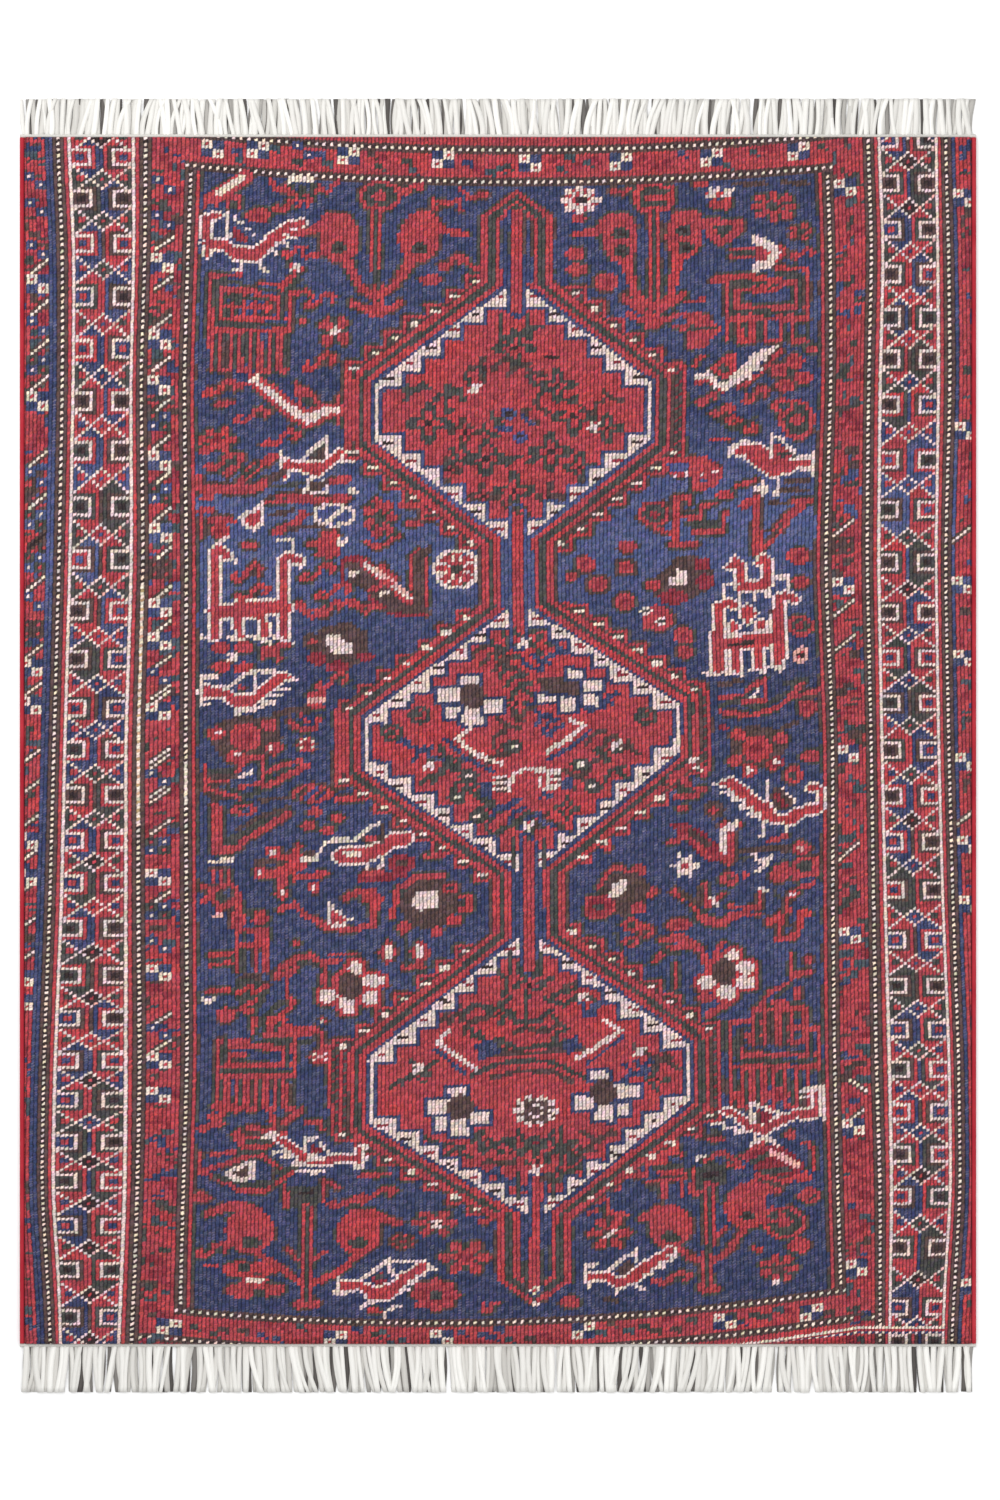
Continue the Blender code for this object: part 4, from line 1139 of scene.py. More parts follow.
limb(RED, 1.4, 34.5, 128.6, 34.5, 139.6)
fine(GREEN, (34.5, 128.6, 34.5, 139.6))
tie(taper((28.6, 129.2, 1.6), (26, 128.2, 1.3), (24, 128.7, 1), (22.4, 129.4, 0.8))
    | taper((40.2, 129.4, 1.6), (42.2, 129.2, 1.2), (44, 129.9, 1), (45.6, 130.4, 0.7)), RED)
each(disc, (26.4, 136, 2, 1), (29.8, 135.7, 1.9, 0.9), (26.8, 138.5, 2, 0.9), (30.2, 138.4, 1.9, 0.8),
    (26.9, 135.7, 0.8, 0.6, GREEN), (28.9, 138.8, 0.7, 0.6, GREEN))
edged(oval(28.2, 137.3, 1.2, 0.45), CREAM, RED)
star(50.1, 130.5)

# Bird with its wing raised
edged(taper((39, 137.9, 0.9), (40.8, 137.8, 0.9), (42.4, 138.8, 1.3), (44.4, 138.7, 1.5), (46.4, 137, 1.2),
    (48.6, 135.5, 0.9)))
fine(IVORY, (38.2, 136.8, 38, 138.9, 39.2, 138.9), (41, 137.2, 43, 135.8, 44.6, 134.6, 44.7, 136.8),
    (44.8, 135, 48.8, 135, 49.9, 136.1), (41, 140.5, 42.4, 139.9), (44.8, 140.5, 45.8, 140.4),
    (43.8, 141.6, 44.2, 140.8))
patch(MADDER, 42, 137.2, 43.8, 135.8, 44, 137.4, 43.2, 137.9)
disc(43.2, 136.9, 0.5, 0.4, GREEN)
bars(IVORY, 0.5, (-0.7, 0, 0.5, -0.1), (46.4, 138.4), (47.4, 137.5), (48.4, 136.7))
lines(RED, (42, 140.8, 43.6, 141.1))
fine(RED, (55.7, 140.1, 55.7, 140.9, 56.2, 140.9), (56.8, 140.9, 56.9, 140, 57.6, 140))

# Right of the field, foot
bird = taper((84.8, 117, 0.5), (86, 117.2, 0.7), (87.6, 118.8, 0.9), (89.4, 119.2, 1.1), (91.2, 118.2, 0.9),
    (93.2, 117.4, 0.7), (95.8, 117.2, 0.8))
bird |= strokes((0.7, 95.7, 117, 95.7, 115))
edged(bird)
fine(IVORY, (93.9, 114.7, 94.6, 114.3, 96.4, 114.1, 96.5, 117.9), (94, 115.2, 95.2, 115.2),
    (88.1, 118.2, 88, 115.9, 89.4, 116.6, 91, 117.2), (88.2, 120.2, 88, 121.4),
    (88.4, 120.5, 90.6, 120.4, 91, 121.2), (90.4, 121.8, 91.4, 122.2), (81.2, 122.8, 82.1, 122.4),
    (92.9, 133, 93.4, 132.9), (94.1, 132.9, 94.6, 132.8), (69.6, 135.3, 68, 135.6, 68.3, 138.2),
    (70.6, 136.2, 72.4, 134.8, 74.2, 133.7, 74.3, 135), (71.6, 139, 72, 138.5),
    (74.3, 137.6, 74.4, 138.4, 75, 138.4), (65.4, 139.8, 66, 139.7), (66.5, 139.7, 67.1, 139.6))
bars(IVORY, 0.5, (-0.8, 0, 0.6, 0.1), (84.2, 118.4), (85.4, 118.9), (86.6, 119.4))
patches(MADDER, (88.6, 118.3, 88.6, 116.8, 90.6, 117.4, 89.8, 118.4),
    (87, 122.6, 89.4, 120.9, 92.2, 121.4, 94.4, 123.4, 93.4, 124.9, 90.8, 124.6, 88.4, 123.9))
fine(BROWN, (88.9, 117.2, 89, 118.2))
each(disc, (91.2, 114.9, 1.3, 1, RED, MADDER), (86.2, 115.2, 0.9, 0.6), (83.6, 119.4, 0.7, 0.5, GREEN),
    (92.6, 119.8, 0.8, 0.6), (78.2, 130.8, 2.7, 2.6), (78.3, 132.1, 1.1, 0.7, GREEN),
    (87.3, 128.4, 2.6, 2.8), (87.4, 129.5, 0.8, 0.6, GREEN, BLACK), (82, 138.2, 0.75, 0.6),
    (83.5, 138.3, 0.75, 0.6), (93.7, 133, 1.4, 0.9), (72.5, 135.8, 0.5, 0.4, ROSE), (66.2, 139.8, 1.3, 0.7))
lines(RED, (83, 120.3, 84.4, 120.4), (86.8, 122.4, 89.2, 120.9), (88.4, 124.6, 92, 125.4, 94.6, 124.4),
    (93.8, 120.8, 94.6, 120.7, 95.4, 121.6, 95.5, 123.8), (93.6, 125.2, 95, 124.9),
    (73, 124.9, 75.2, 124.6, 75.2, 123.2, 77.4, 123.2, 77.4, 122, 79.6, 122),
    (77, 124.4, 80, 124.3, 80.2, 125, 75.6, 125.4), (77.4, 125.2, 77.5, 127.4), (79.4, 125, 79.5, 126.9),
    (82.2, 123, 84.4, 121.9, 86.6, 123.4), (85, 123.4, 87.2, 123.7))
lines(GREEN, (88, 123, 90.4, 122), (89.4, 124.2, 92.4, 123.9), (76.2, 123.9, 79.4, 123.6),
    (75.6, 126, 76.8, 126.6))
limb(ROSE, 0.8, 90.4, 121.9, 93.4, 123.4)
patch(GREEN, 81.4, 123.9, 83.2, 123, 85, 123.6, 84.8, 125.6, 83, 126.2, 81.2, 125.6)
lines(RED, (81, 124, 80.7, 126.8, 82.2, 126.6, 82.4, 125.8, 83.6, 125.7), (88, 133.4, 89, 133.6),
    (68.4, 129.2, 69.4, 128.9), (70.4, 127.2, 71, 129.2, 73, 129.4), (55.2, 130.3, 56.8, 130))
fine(BLACK, (82.4, 124.6, 83.8, 124.5))
limb(RED, 1.4, 82.9, 126.4, 82.7, 138)
fine(GREEN, (82.9, 126.4, 82.7, 138))
tie(taper((78.6, 128.8, 1.5), (76.8, 128.8, 1.3), (75.6, 129.4, 1), (74.7, 129.9, 0.7))
    | taper((87, 126.2, 1.5), (88.6, 125.8, 1.3), (90, 126.4, 1.1), (91.4, 126.6, 0.7)), RED)
limbs(RED, 0.8, (78.8, 133, 80.4, 134.4, 82, 135), (87.4, 130.8, 85.4, 133.4, 83.4, 135))
fine(RED, (83.9, 131.8, 84.8, 130.9))
each(ring, (91.9, 130.3, 2.6, 2, RED, GREEN, RED), (90.6, 129.4, 1.3, 1, RED, GREEN),
    (94.9, 127.1, 1.3, 1, RED, GREEN, RED))
each(flower, (91.2, 135.8, 2.5, 1.9, RED, BROWN, 7, GREEN), (70.9, 131.6, 2.7, 2, RED, BROWN, 6, GREEN))
patch(IVORY, 90.3, 137.8, 91, 136.6, 91.2, 137.7)
lines(IVORY, (70.3, 132.1, 71.5, 131.4))
edged(taper((68.6, 137, 0.8), (70.4, 136.8, 0.8), (72.2, 137.6, 1), (74, 136.8, 1.2), (76, 135.2, 1.2),
    (78.2, 133.9, 1)))
patch(BROWN, 71.4, 136.2, 73.4, 134.8, 73.8, 135.6, 72.6, 136.6)
bars(IVORY, 0.5, (-0.5, 0, 0.6, 0), (75.6, 136.5), (76.6, 135.7), (77.6, 135), (78.4, 134.3))
squiggle(78.4, 137, 4.4, 1.2)
lines(BROWN, (70.2, 139.6, 71.8, 139.7))

# Inside the medallions: charcoal leaf scrolls, a pair of ivory-block flowers, brackets and stars


def scroll(x, y, wide, tall, colour, turns, seed):
    """A leafy stem on the red ground: seeded hooked strokes, one knot thick, along a slanting line."""
    dice = np.random.default_rng(seed)
    ground = bodies & (chart == RED)
    for share in (np.arange(turns) + 0.5) / turns - 0.5:
        cx = x + wide * share
        cy = y + tall * share * (1 if seed % 2 else -1)
        arm, hook = dice.uniform(0.7, 1.3, 2)
        hook *= 1 if dice.random() < 0.5 else -1
        stroke = line(((cx - arm, cy + hook), (cx - arm * 0.3, cy), (cx + arm, cy - hook * 0.4)), 0.56)
        tie(stroke & ground, colour)


def scrolls(first_seed, wools, turns, *rows):
    """Scrolls in one medallion, their wools taken in turn."""
    for number, row in enumerate(rows):
        scroll(*row, wools[number % 3], turns, number + first_seed)


def spiky_leaf(x, y, size=1.3, colour=GREEN):
    """A leaf with four points: a dark rim, a red body and a black heart."""
    angle = np.arctan2((knot_y - y) / 0.9, knot_x - x)
    far = np.hypot(knot_x - x, (knot_y - y) / 0.9) / size
    points = 1.0 + 0.42 * np.cos(4.0 * angle)
    ground = bodies & (chart == RED)
    tie((far < points) & ground, colour)
    tie((far < points * 0.55) & ground, RED)
    tie((far < 0.2) & ground, BLACK)


def block(x0, y0, x1, y1):
    """An ivory block with a navy outline."""
    shape = box(x0, y0, x1, y1)
    tie(grown(shape), NAVY)
    tie(shape, IVORY)


def block_flower(x, y, facing):
    """A flower's brown heart with five ivory blocks round it."""
    for dx, dy, wide, tall in ((-0.5, -2.0, 1.15, 0.5), (-2.6 * facing, -0.1, 1.55, 0.8),
                               (-2.1 * facing, 2.0, 1.1, 0.75), (0.1, 2.4, 1.25, 1.0),
                               (2.4 * facing, 1.2, 1.15, 0.75)):
        block(x + dx - wide, y + dy - tall, x + dx + wide, y + dy + tall)
    disc(x, y, 1.6, 1.55, BROWN)


# First medallion
scrolls(0, (GREEN, BROWN, GREEN), 3, (54.2, 29.6, 6, 3), (60, 27.6, 6, 2), (57.6, 34.4, 3, 3.4),
    (63.4, 30.4, 4.2, 2.6), (69.6, 32, 5, 2), (59.4, 38.6, 5, 1.6), (52.8, 38.6, 4, 2), (60, 45, 4, 1.6),
    (60, 23.6, 5, 1.6), (46.6, 30, 3, 1.2), (66, 42.6, 4, 2))
each(spiky_leaf, (59.4, 25.4, 1.9), (55.8, 27.8, 1.3, BROWN), (51.6, 31.4, 1.5), (49.2, 34.4, 2.1),
    (53.4, 35.4, 1.5, BROWN), (64.6, 29.8, 1.7), (66.6, 33.6, 2), (70.6, 35, 1.6), (62, 33, 1.3, BROWN),
    (56, 38.6, 1.9), (63.8, 37.8, 2), (51.4, 40, 1.4, BROWN), (67.4, 39.6, 1.5), (59.4, 42.4, 1.9),
    (55.6, 43.2, 1.3, BROWN), (63.8, 43.2, 1.4, BROWN))
dots((0.8, 0.6), (52.3, 32), (56.8, 28.8), (66.6, 32.6), (51.8, 36.4), (62, 33.4), (56.2, 37.6),
    (60.4, 39.6))
lines(GREEN, (46.2, 30.4, 47, 30.8, 48.4, 29.6, 49.2, 30.2))
each(disc, (58.8, 33.2, 0.9, 0.8, SKY, BLACK), (60.2, 36, 0.8, 0.8, SKY, BLACK))
fine(NAVY, (57.4, 35, 59, 35), (60.6, 33.6, 61.6, 34.4))
each(star, (54.8, 30.2), (69, 34.8))
fine(BLACK, (63.2, 26.5, 64.6, 26.3))
posts(GREEN, 0.6, 21.4, 24.2, 57.8, 61.2)

# Second medallion
scrolls(40, (GREEN, BROWN, NAVY), 4, (59.6, 60.2, 6, 2.4), (57.4, 62.6, 5, 3), (63.4, 62.6, 5, 2.6),
    (60, 65.4, 3.4, 3.6), (59.4, 70.2, 4.4, 3.6), (47.8, 73.4, 5, 2.6), (51.4, 75.8, 5, 2.6),
    (71.6, 72.6, 6, 2.6), (69.6, 67.8, 4, 2), (54.4, 78.6, 4, 3), (67.4, 76.4, 4.4, 3.6),
    (60.6, 81.4, 7, 2.4), (57.4, 83.4, 5, 3), (64.6, 82.8, 5, 3), (61, 79.2, 4, 1.4), (73, 76.8, 4, 2),
    (57.6, 74.2, 3, 1.6), (63.4, 70, 3, 2.6))
each(spiky_leaf, (59.6, 68, 1.2), (50.6, 74.6, 1.3), (70.8, 73.6, 1.3), (61.2, 82.6, 1.4),
    (56.6, 80.8, 1.2), (65.8, 80.6, 1.2), (58.6, 62.4, 1.2), (62.6, 61, 1.1))
block_flower(54.4, 67.1, 1)
patch(BROWN, 62.2, 65, 65, 64.8, 68.2, 65.6, 67.8, 67.2, 65, 67.4, 62.8, 66.8)
each(block, (65.9, 63.9, 67.8, 65), (67.6, 65.2, 70, 66.6), (67.8, 67, 69.5, 68.3), (64.8, 67.2, 67, 69),
    (62.2, 67, 64.5, 67.9))
each(ring, (48.1, 69.4, 1.4, 1.1, GREEN, RED, GREEN), (44.8, 71.5, 1.4, 1.1, GREEN, RED, GREEN),
    (75.3, 69.5, 1.4, 1.1, GREEN, RED, GREEN))
fine(NAVY, (51.2, 72.2, 53.6, 74.6, 57, 76.2), (68.6, 71.2, 66, 73.4, 63.4, 74.8))
lines(IVORY, (54.2, 71, 52.5, 72.2, 55, 74.2, 58, 75.2), (66, 70, 67.8, 70.6, 66, 72.2, 63.4, 73.8))
patch(RED, 59.2, 76.6, 60.6, 76, 62.8, 76.2, 63.2, 78.2, 62.4, 79.6, 60, 79.4, 59, 78.2)
fine(IVORY, (59, 78.4, 59.2, 76.7, 60.6, 75.9, 62.8, 76, 64.8, 76.2), (62.6, 76.9, 62.8, 78.2, 64.2, 78.2))
for y in (76.8, 77.5, 78.2):
    limb(IVORY, 0.5, 57, y, 58.8, y + 0.2)
    limb(BROWN, 0.5, 57.4, y + 0.35, 58.6, y + 0.4)
    limb(IVORY, 0.5, 63.4, y - 0.2, 65, y - 0.4)
patches(NAVY, (55.6, 77.4, 56.8, 77.4, 56.8, 79.4, 55.6, 79.2),
    (65.4, 76.8, 66.4, 76.8, 66.4, 78.4, 65.2, 78.4))
each(star, (49.3, 75.4), (71.8, 73), (60.7, 60.7), (61, 82.8))
SMALL_LEAVES = ((52.6, 79.3), (55.1, 81.6), (54, 76.7), (68.9, 77.9), (67.4, 75.3), (59.4, 73.2))
dots((1.2, 0.8, GREEN), *SMALL_LEAVES)
dots((0.55, 0.3, CREAM), *SMALL_LEAVES)

# Third medallion
scrolls(80, (GREEN, BROWN, NAVY), 4, (47.6, 112.4, 5, 2.6), (76.6, 110.6, 5, 2), (74.4, 112, 3.4, 2.4),
    (51.6, 121.4, 5, 2), (68.6, 121, 5, 3), (58.6, 125.2, 5, 2.4), (66, 124.4, 4, 2.4), (53, 105.6, 3, 2),
    (69.4, 104.2, 3, 2), (56.4, 108.6, 4, 2))
lines(GREEN, (60, 99.2, 60.2, 100.6), (62.2, 99.2, 62, 100.6), (57.6, 100.2, 58.6, 101.4, 58.2, 103.2),
    (62.6, 101.6, 64.2, 100.8), (61, 103.6, 61, 106.4), (58.4, 104.8, 59.6, 106.2, 62.6, 106, 63.8, 104.8),
    (59, 103.4, 57.2, 104.6, 54.6, 104.2, 53.4, 105.2), (63.2, 103.4, 65.4, 104.2, 67.4, 103, 69, 103.6),
    (54.6, 119.8, 56.2, 121.6, 58.4, 120.4, 60, 121.8), (60, 119.4, 61, 121.2, 63, 121.2, 64, 119.4),
    (65, 119, 65, 123.2), (63.2, 122.4, 66.8, 120.4), (63.6, 120.2, 66.8, 122.8))
lines(BROWN, (59.4, 107.5, 61, 106.9, 63, 107.6, 64.8, 106.6), (65.4, 102, 66.8, 101.6),
    (56, 123, 59.4, 123.2), (54.4, 106.2, 56.6, 105.6), (67.6, 119.4, 69.6, 120.6, 71, 119.4),
    (62.6, 125, 64.4, 125.4))
each(spiky_leaf, (61.2, 101.9, 1.4), (57.8, 105.2, 1.3), (64.2, 107, 1.3), (55.6, 120.6, 1.2),
    (59.2, 121.8, 1.4), (66.2, 121.8, 1.3), (62.2, 123, 1.2), (76.6, 113.2, 1.2))
lines(GREEN, (54.4, 112.6, 57, 111.4, 60, 110.9, 64, 111, 66.4, 112.2, 69, 113.4),
    (57.4, 108.4, 60, 109.4, 64.4, 109, 67, 108.2), (64.2, 103, 67, 102.2))
lines(BROWN, (56.6, 113, 60, 112.1, 64.4, 112.2, 66.6, 113.6), (56, 110, 62, 110, 67.6, 109.4))
patches(NAVY, (54.6, 109, 57, 108.2, 57.8, 109.8, 55.4, 111),
    (65, 108.8, 67, 107.8, 67.6, 109.2, 66, 110.2))
fine(NAVY, (50, 109.6, 53.6, 112.4), (72.6, 107.8, 68.4, 111.2))
lines(IVORY, (51.6, 107.3, 50.3, 108.6, 52.4, 110.2, 55, 111.9),
    (70.3, 106.1, 72.2, 107.2, 70, 108.8, 67, 110.6))
block_flower(53, 116.5, 1)
block_flower(70.2, 114.7, -1)
rosette = oval(62, 116.9, 2.9, 2)
tie(rim(rosette), RED)
flower(62, 116.9, 2.95, 2.05, IVORY, BROWN, 10, BROWN)
tie(rim(oval(62, 116.9, 1.1, 0.8)), BROWN)
each(disc, (62, 120.7, 1.5, 0.7, GREEN, MADDER), (48.6, 113, 0.7, 0.5, GREEN, RED))
each(star, (48, 111.8), (62.1, 124), (74.5, 109.8), (67.8, 103.2))
posts(GREEN, 0.6, 124.6, 127.2, 60, 64.2)
posts(GREEN, 0.6, 84.2, 87.6, 59.4, 63.2)
posts(GREEN, 0.6, 98, 100.4, 59, 62.8)

# Two cream flowers in the lower house
each(disc, (62, 138.4, 0.8, 0.4, CREAM, RED), (62, 140.1, 0.6, 0.3, CREAM))

# Every motif has a thin dark outline, worn or left out here and there
field = inside(((20.8, 3.9), (97, 3.9), (99, 60), (99, 142), (20.4, 142.5)))
worn_away = np.sin(knot_x * 0.83 + 2 * np.sin(knot_y * 0.31))
worn_away *= np.sin(knot_y * 0.71 + 1.3 * np.sin(knot_x * 0.23))
outline = field & (chart == NAVY) & grown(chart == RED, False) & (reach > 3.4) & (worn_away > -0.25)
tie(outline, GREEN)
tie(outline & (np.sin(knot_x * 0.47) * np.sin(knot_y * 0.39) > 0.1), BROWN)

# A last light row with small squares shows where the end slants away from the border
chart[LOW_OUTER + 5, 140:243] = CREAM
chart[LOW_OUTER + 6, 140:243] = RED
chart[LOW_OUTER + 7, 140:243:2] = IVORY
chart[LOW_OUTER + 7, 141:243:2] = NAVY

# The cloth's own mesh: one face for half a knot column and six rows, so the knots stand in ribs
ROWS_A_FACE = 6
PILE_TOP = 0.0088
UNDERSIDE = 0.0002
RIB_DEPTH = 0.0006
UNEVEN = 0.00025
ROUNDED_SIDE = 0.0022
ROUNDED_WIDTH = 0.004
rug_low, rug_high = plain(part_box("rug"))
LEFT_EDGE_CM, RIGHT_EDGE_CM = (edge * 100.0 + CLOTH_WIDTH_CM / 2 for edge in (rug_low[0], rug_high[0]))


def moved_to_edge(place, other, coordinate, edge, sign, axis, span):
    """Points just past a straight edge slide onto it along their grid line. Those further are lost."""
    out = (place - edge) * sign < 0
    for step in (-1, 1):
        beside = np.roll(place, step, axis=axis)
        other_beside = np.roll(other, step, axis=axis)
        beside_in = ((beside - edge) * sign >= 0) & out
        share = np.where(beside_in, (edge - place) / np.where(beside_in, beside - place, 1.0), 0.0)
        coordinate = coordinate - step * share * span
        other = other + share * (other_beside - other)
        place = np.where(beside_in, edge, place)
        out &= ~beside_in
    return place, other, coordinate, out


grid_column, grid_row = np.meshgrid(np.arange(KNOT_COLUMNS * 2 + 1) / 2.0,
                                    np.arange(KNOT_ROWS // ROWS_A_FACE + 1) * float(ROWS_A_FACE))
grid_x, grid_y = loom_place(grid_column, grid_row)
lost = np.zeros(grid_x.shape, bool)
for edge, sign in ((LEFT_EDGE_CM, 1.0), (RIGHT_EDGE_CM, -1.0)):
    grid_x, grid_y, grid_column, out = moved_to_edge(grid_x, grid_y, grid_column, edge, sign, 1, 0.5)
    lost |= out
for edge, sign in ((0.0, 1.0), (PILE_LENGTH_CM, -1.0)):
    grid_y, grid_x, grid_row, out = moved_to_edge(grid_y, grid_x, grid_row, edge, sign, 0, float(ROWS_A_FACE))
    lost |= out

high, wide = grid_x.shape
number = np.arange(high * wide).reshape(high, wide)
quads = np.stack([number[:-1, :-1], number[1:, :-1], number[1:, 1:], number[:-1, 1:]], axis=-1).reshape(-1, 4)
kept = ~lost.reshape(-1)[quads]
whole = kept.sum(axis=1) == 4
corner_cut = kept.sum(axis=1) == 3
cell_row, cell_column = np.meshgrid(np.arange(high - 1), np.arange(wide - 1) // 2, indexing="ij")
weights = 16.0 ** np.arange(ROWS_A_FACE)
packed = (chart.reshape(high - 1, ROWS_A_FACE, KNOT_COLUMNS) * weights[None, :, None]).sum(axis=1)
cell_code = packed[cell_row.reshape(-1), cell_column.reshape(-1)]
column_beside = np.clip(cell_column + np.arange(wide - 1)[None, :] % 2 * 2 - 1, 0, KNOT_COLUMNS - 1)
code_beside = packed[cell_row.reshape(-1), column_beside.reshape(-1)]
cell_first_row = cell_row.reshape(-1) * ROWS_A_FACE
threes = quads[corner_cut][kept[corner_cut]].reshape(-1, 3)
fours = quads[whole]

rib = np.where(np.arange(wide) % 2 == 0, RIB_DEPTH, 0.0)[None, :]
uneven = UNEVEN * np.sin(grid_x * 0.31 + 2.0 * np.sin(grid_y * 0.11)) * np.sin(grid_y * 0.23)
edge_gap = np.minimum(grid_x - LEFT_EDGE_CM, RIGHT_EDGE_CM - grid_x) / 100.0
rounding = ROUNDED_SIDE * np.clip(1.0 - edge_gap / ROUNDED_WIDTH, 0.0, 1.0) ** 2
top_z = PILE_TOP - UNEVEN + uneven - rib - rounding
points_top = np.stack([grid_x / 100.0 - CLOTH_WIDTH_CM / 200.0, rug_high[1] - grid_y / 100.0, top_z], axis=-1)
points_under = points_top.copy()
points_under[..., 2] = UNDERSIDE
points = np.concatenate([points_top.reshape(-1, 3), points_under.reshape(-1, 3)])
grid_size = high * wide

# Side walls stand on every edge that only one upper face has
sides = np.concatenate([fours[:, [0, 1]], fours[:, [1, 2]], fours[:, [2, 3]], fours[:, [3, 0]],
                        threes[:, [0, 1]], threes[:, [1, 2]], threes[:, [2, 0]]])
side_face = np.concatenate([np.tile(np.flatnonzero(whole), 4), np.tile(np.flatnonzero(corner_cut), 3)])
side_key = np.sort(sides, axis=1) @ np.array([grid_size, 1])
_, first_seen, times_seen = np.unique(side_key, return_index=True, return_counts=True)
lone = first_seen[times_seen == 1]
walls = np.concatenate([sides[lone], sides[lone][:, ::-1] + grid_size], axis=1)[:, [1, 0, 3, 2]]

loops = np.concatenate([fours.reshape(-1), threes.reshape(-1), (fours[:, ::-1] + grid_size).reshape(-1),
                        (threes[:, ::-1] + grid_size).reshape(-1), walls.reshape(-1)])
sizes = np.concatenate([np.full(len(fours), 4), np.full(len(threes), 3), np.full(len(fours), 4),
                        np.full(len(threes), 3), np.full(len(walls), 4)])
face_cell = np.concatenate([np.flatnonzero(whole), np.flatnonzero(corner_cut)] * 2 + [side_face[lone]])
used, loops = np.unique(loops, return_inverse=True)
loop_face = np.repeat(np.arange(len(sizes)), sizes)
vertex_column = np.tile(grid_column.reshape(-1), 2)[used][loops]
vertex_row = np.tile(grid_row.reshape(-1), 2)[used][loops]

cloth = bpy.data.meshes.new("rug_cloth")
cloth.vertices.add(len(used))
cloth.vertices.foreach_set("co", points[used].reshape(-1))
cloth.loops.add(len(loops))
cloth.loops.foreach_set("vertex_index", loops.astype(np.int32))
cloth.polygons.add(len(sizes))
cloth.polygons.foreach_set("loop_start", np.concatenate([[0], np.cumsum(sizes)[:-1]]).astype(np.int32))
cloth.update(calc_edges=True)
cloth.polygons.foreach_set("use_smooth", np.ones(len(sizes), bool))


def set_map(mesh, name, u, v):
    """A UV map from one u and one v for each face corner."""
    layer = mesh.uv_layers.new(name=name)
    layer.data.foreach_set("uv", np.stack([u, v], axis=-1).astype(np.float32).reshape(-1))


set_map(cloth, "cell", vertex_column - cell_column.reshape(-1)[face_cell][loop_face],
        vertex_row - cell_first_row[face_cell][loop_face])
set_map(cloth, "knots", vertex_column, vertex_row)
for name, codes in (("wool_code", cell_code), ("beside_code", code_beside)):
    code = cloth.attributes.new(name, "FLOAT", "FACE")
    code.data.foreach_set("value", codes[face_cell].astype(np.float32))

# Bake map: the upper face fills most of the square, the underside and walls lie in strips beside it
corner = points[used][loops]
share_x = (corner[:, 0] - rug_low[0]) / (rug_high[0] - rug_low[0])
share_y = (corner[:, 1] - rug_low[1]) / (rug_high[1] - rug_low[1])
share_z = corner[:, 2] / rug_high[2]
faces_a_side = len(fours) + len(threes)
upper = loop_face < faces_a_side
under = ~upper & (loop_face < 2 * faces_a_side)
left_or_top = (share_x != share_y) & ((share_x < 0.001) | (share_y > 0.999))
bake_u = np.where(under, 0.89 + 0.05 * share_x, 0.95 + 0.02 * share_z + 0.025 * left_or_top)
bake_u = np.where(upper, 0.005 + 0.86 * share_x, bake_u)
bake_v = 0.005 + 0.99 * np.where(upper | under, share_y, (share_x + share_y) / 2.0)
set_map(cloth, "OFBake", bake_u, bake_v)


def linear(code):
    """A colour written as red, green and blue in two hex figures each, turned into light amounts."""
    parts = np.array([int(code[at:at + 2], 16) for at in (0, 2, 4)]) / 255.0
    light = np.where(parts <= 0.04045, parts / 12.92, ((parts + 0.055) / 1.055) ** 2.4)
    return (*light.tolist(), 1.0)


def new_material(name):
    """An empty material, its nodes and its shader."""
    material = bpy.data.materials.new(name)
    material.use_nodes = True
    return material, material.node_tree, material.node_tree.nodes["Principled BSDF"]


def join(tree, socket, value):
    """Join a value to a socket, or set it there. None leaves the socket as it is."""
    if isinstance(value, bpy.types.NodeSocket):
        tree.links.new(value, socket)
    elif value is not None:
        socket.default_value = value


def add(tree, kind, *values, **settings):
    """A node whose inputs are set or joined in order."""
    node = tree.nodes.new("ShaderNode" + kind)
    for name, value in settings.items():
        setattr(node, name, value)
    for socket, value in zip(node.inputs, values):
        join(tree, socket, value)
    return node


def sums(operation, *values):
    """One step of arithmetic, in the tree that its sockets are in."""
    tree = next(value.id_data for value in values if isinstance(value, bpy.types.NodeSocket))
    return add(tree, "Math", *values, operation=operation).outputs[0]


def plus(first, second):
    """The sum of two values."""
    return sums("ADD", first, second)


def minus(first, second):
    """The first value less the second."""
    return sums("SUBTRACT", first, second)


def times(first, second):
    """The product of two values."""
    return sums("MULTIPLY", first, second)


def blend_colours(amount, first, second, how="MIX"):
    """Two colours mixed by an amount."""
    node = add(amount.id_data, "Mix", amount, data_type="RGBA", blend_type=how)
    join(amount.id_data, node.inputs[6], first)
    join(amount.id_data, node.inputs[7], second)
    return node.outputs[2]


def ramp(amount, stops, steps="LINEAR"):
    """Colours or greys by an amount, at the stops given."""
    node = add(amount.id_data, "ValToRGB", amount)
    node.color_ramp.interpolation = steps
    while len(node.color_ramp.elements) < len(stops):
        node.color_ramp.elements.new(0.5)
    for element, (place, colour) in zip(node.color_ramp.elements, stops):
        element.position = place
        element.color = colour if isinstance(colour, tuple) else (colour, colour, colour, 1.0)
    return node.outputs[0]


def spots(place, scale, *values):
    """Noise of a texture place stretched by the scale on each axis."""
    stretched = add(place.id_data, "Mapping", place, None, None, scale).outputs[0]
    return add(place.id_data, "TexNoise", stretched, None, *values)


def dress(tree, shader, colour, roughness, specular):
    """Join a shader's colour, and set how rough and how shiny it is."""
    join(tree, shader.inputs["Base Color"], colour)
    join(tree, shader.inputs["Roughness"], roughness)
    join(tree, shader.inputs["Specular IOR Level"], specular)


def raise_up(tree, shader, height, strength, distance):
    """Bump by a height."""
    bump = add(tree, "Bump", strength, distance)
    join(tree, bump.inputs["Height"], height)
    join(tree, shader.inputs["Normal"], bump.outputs[0])


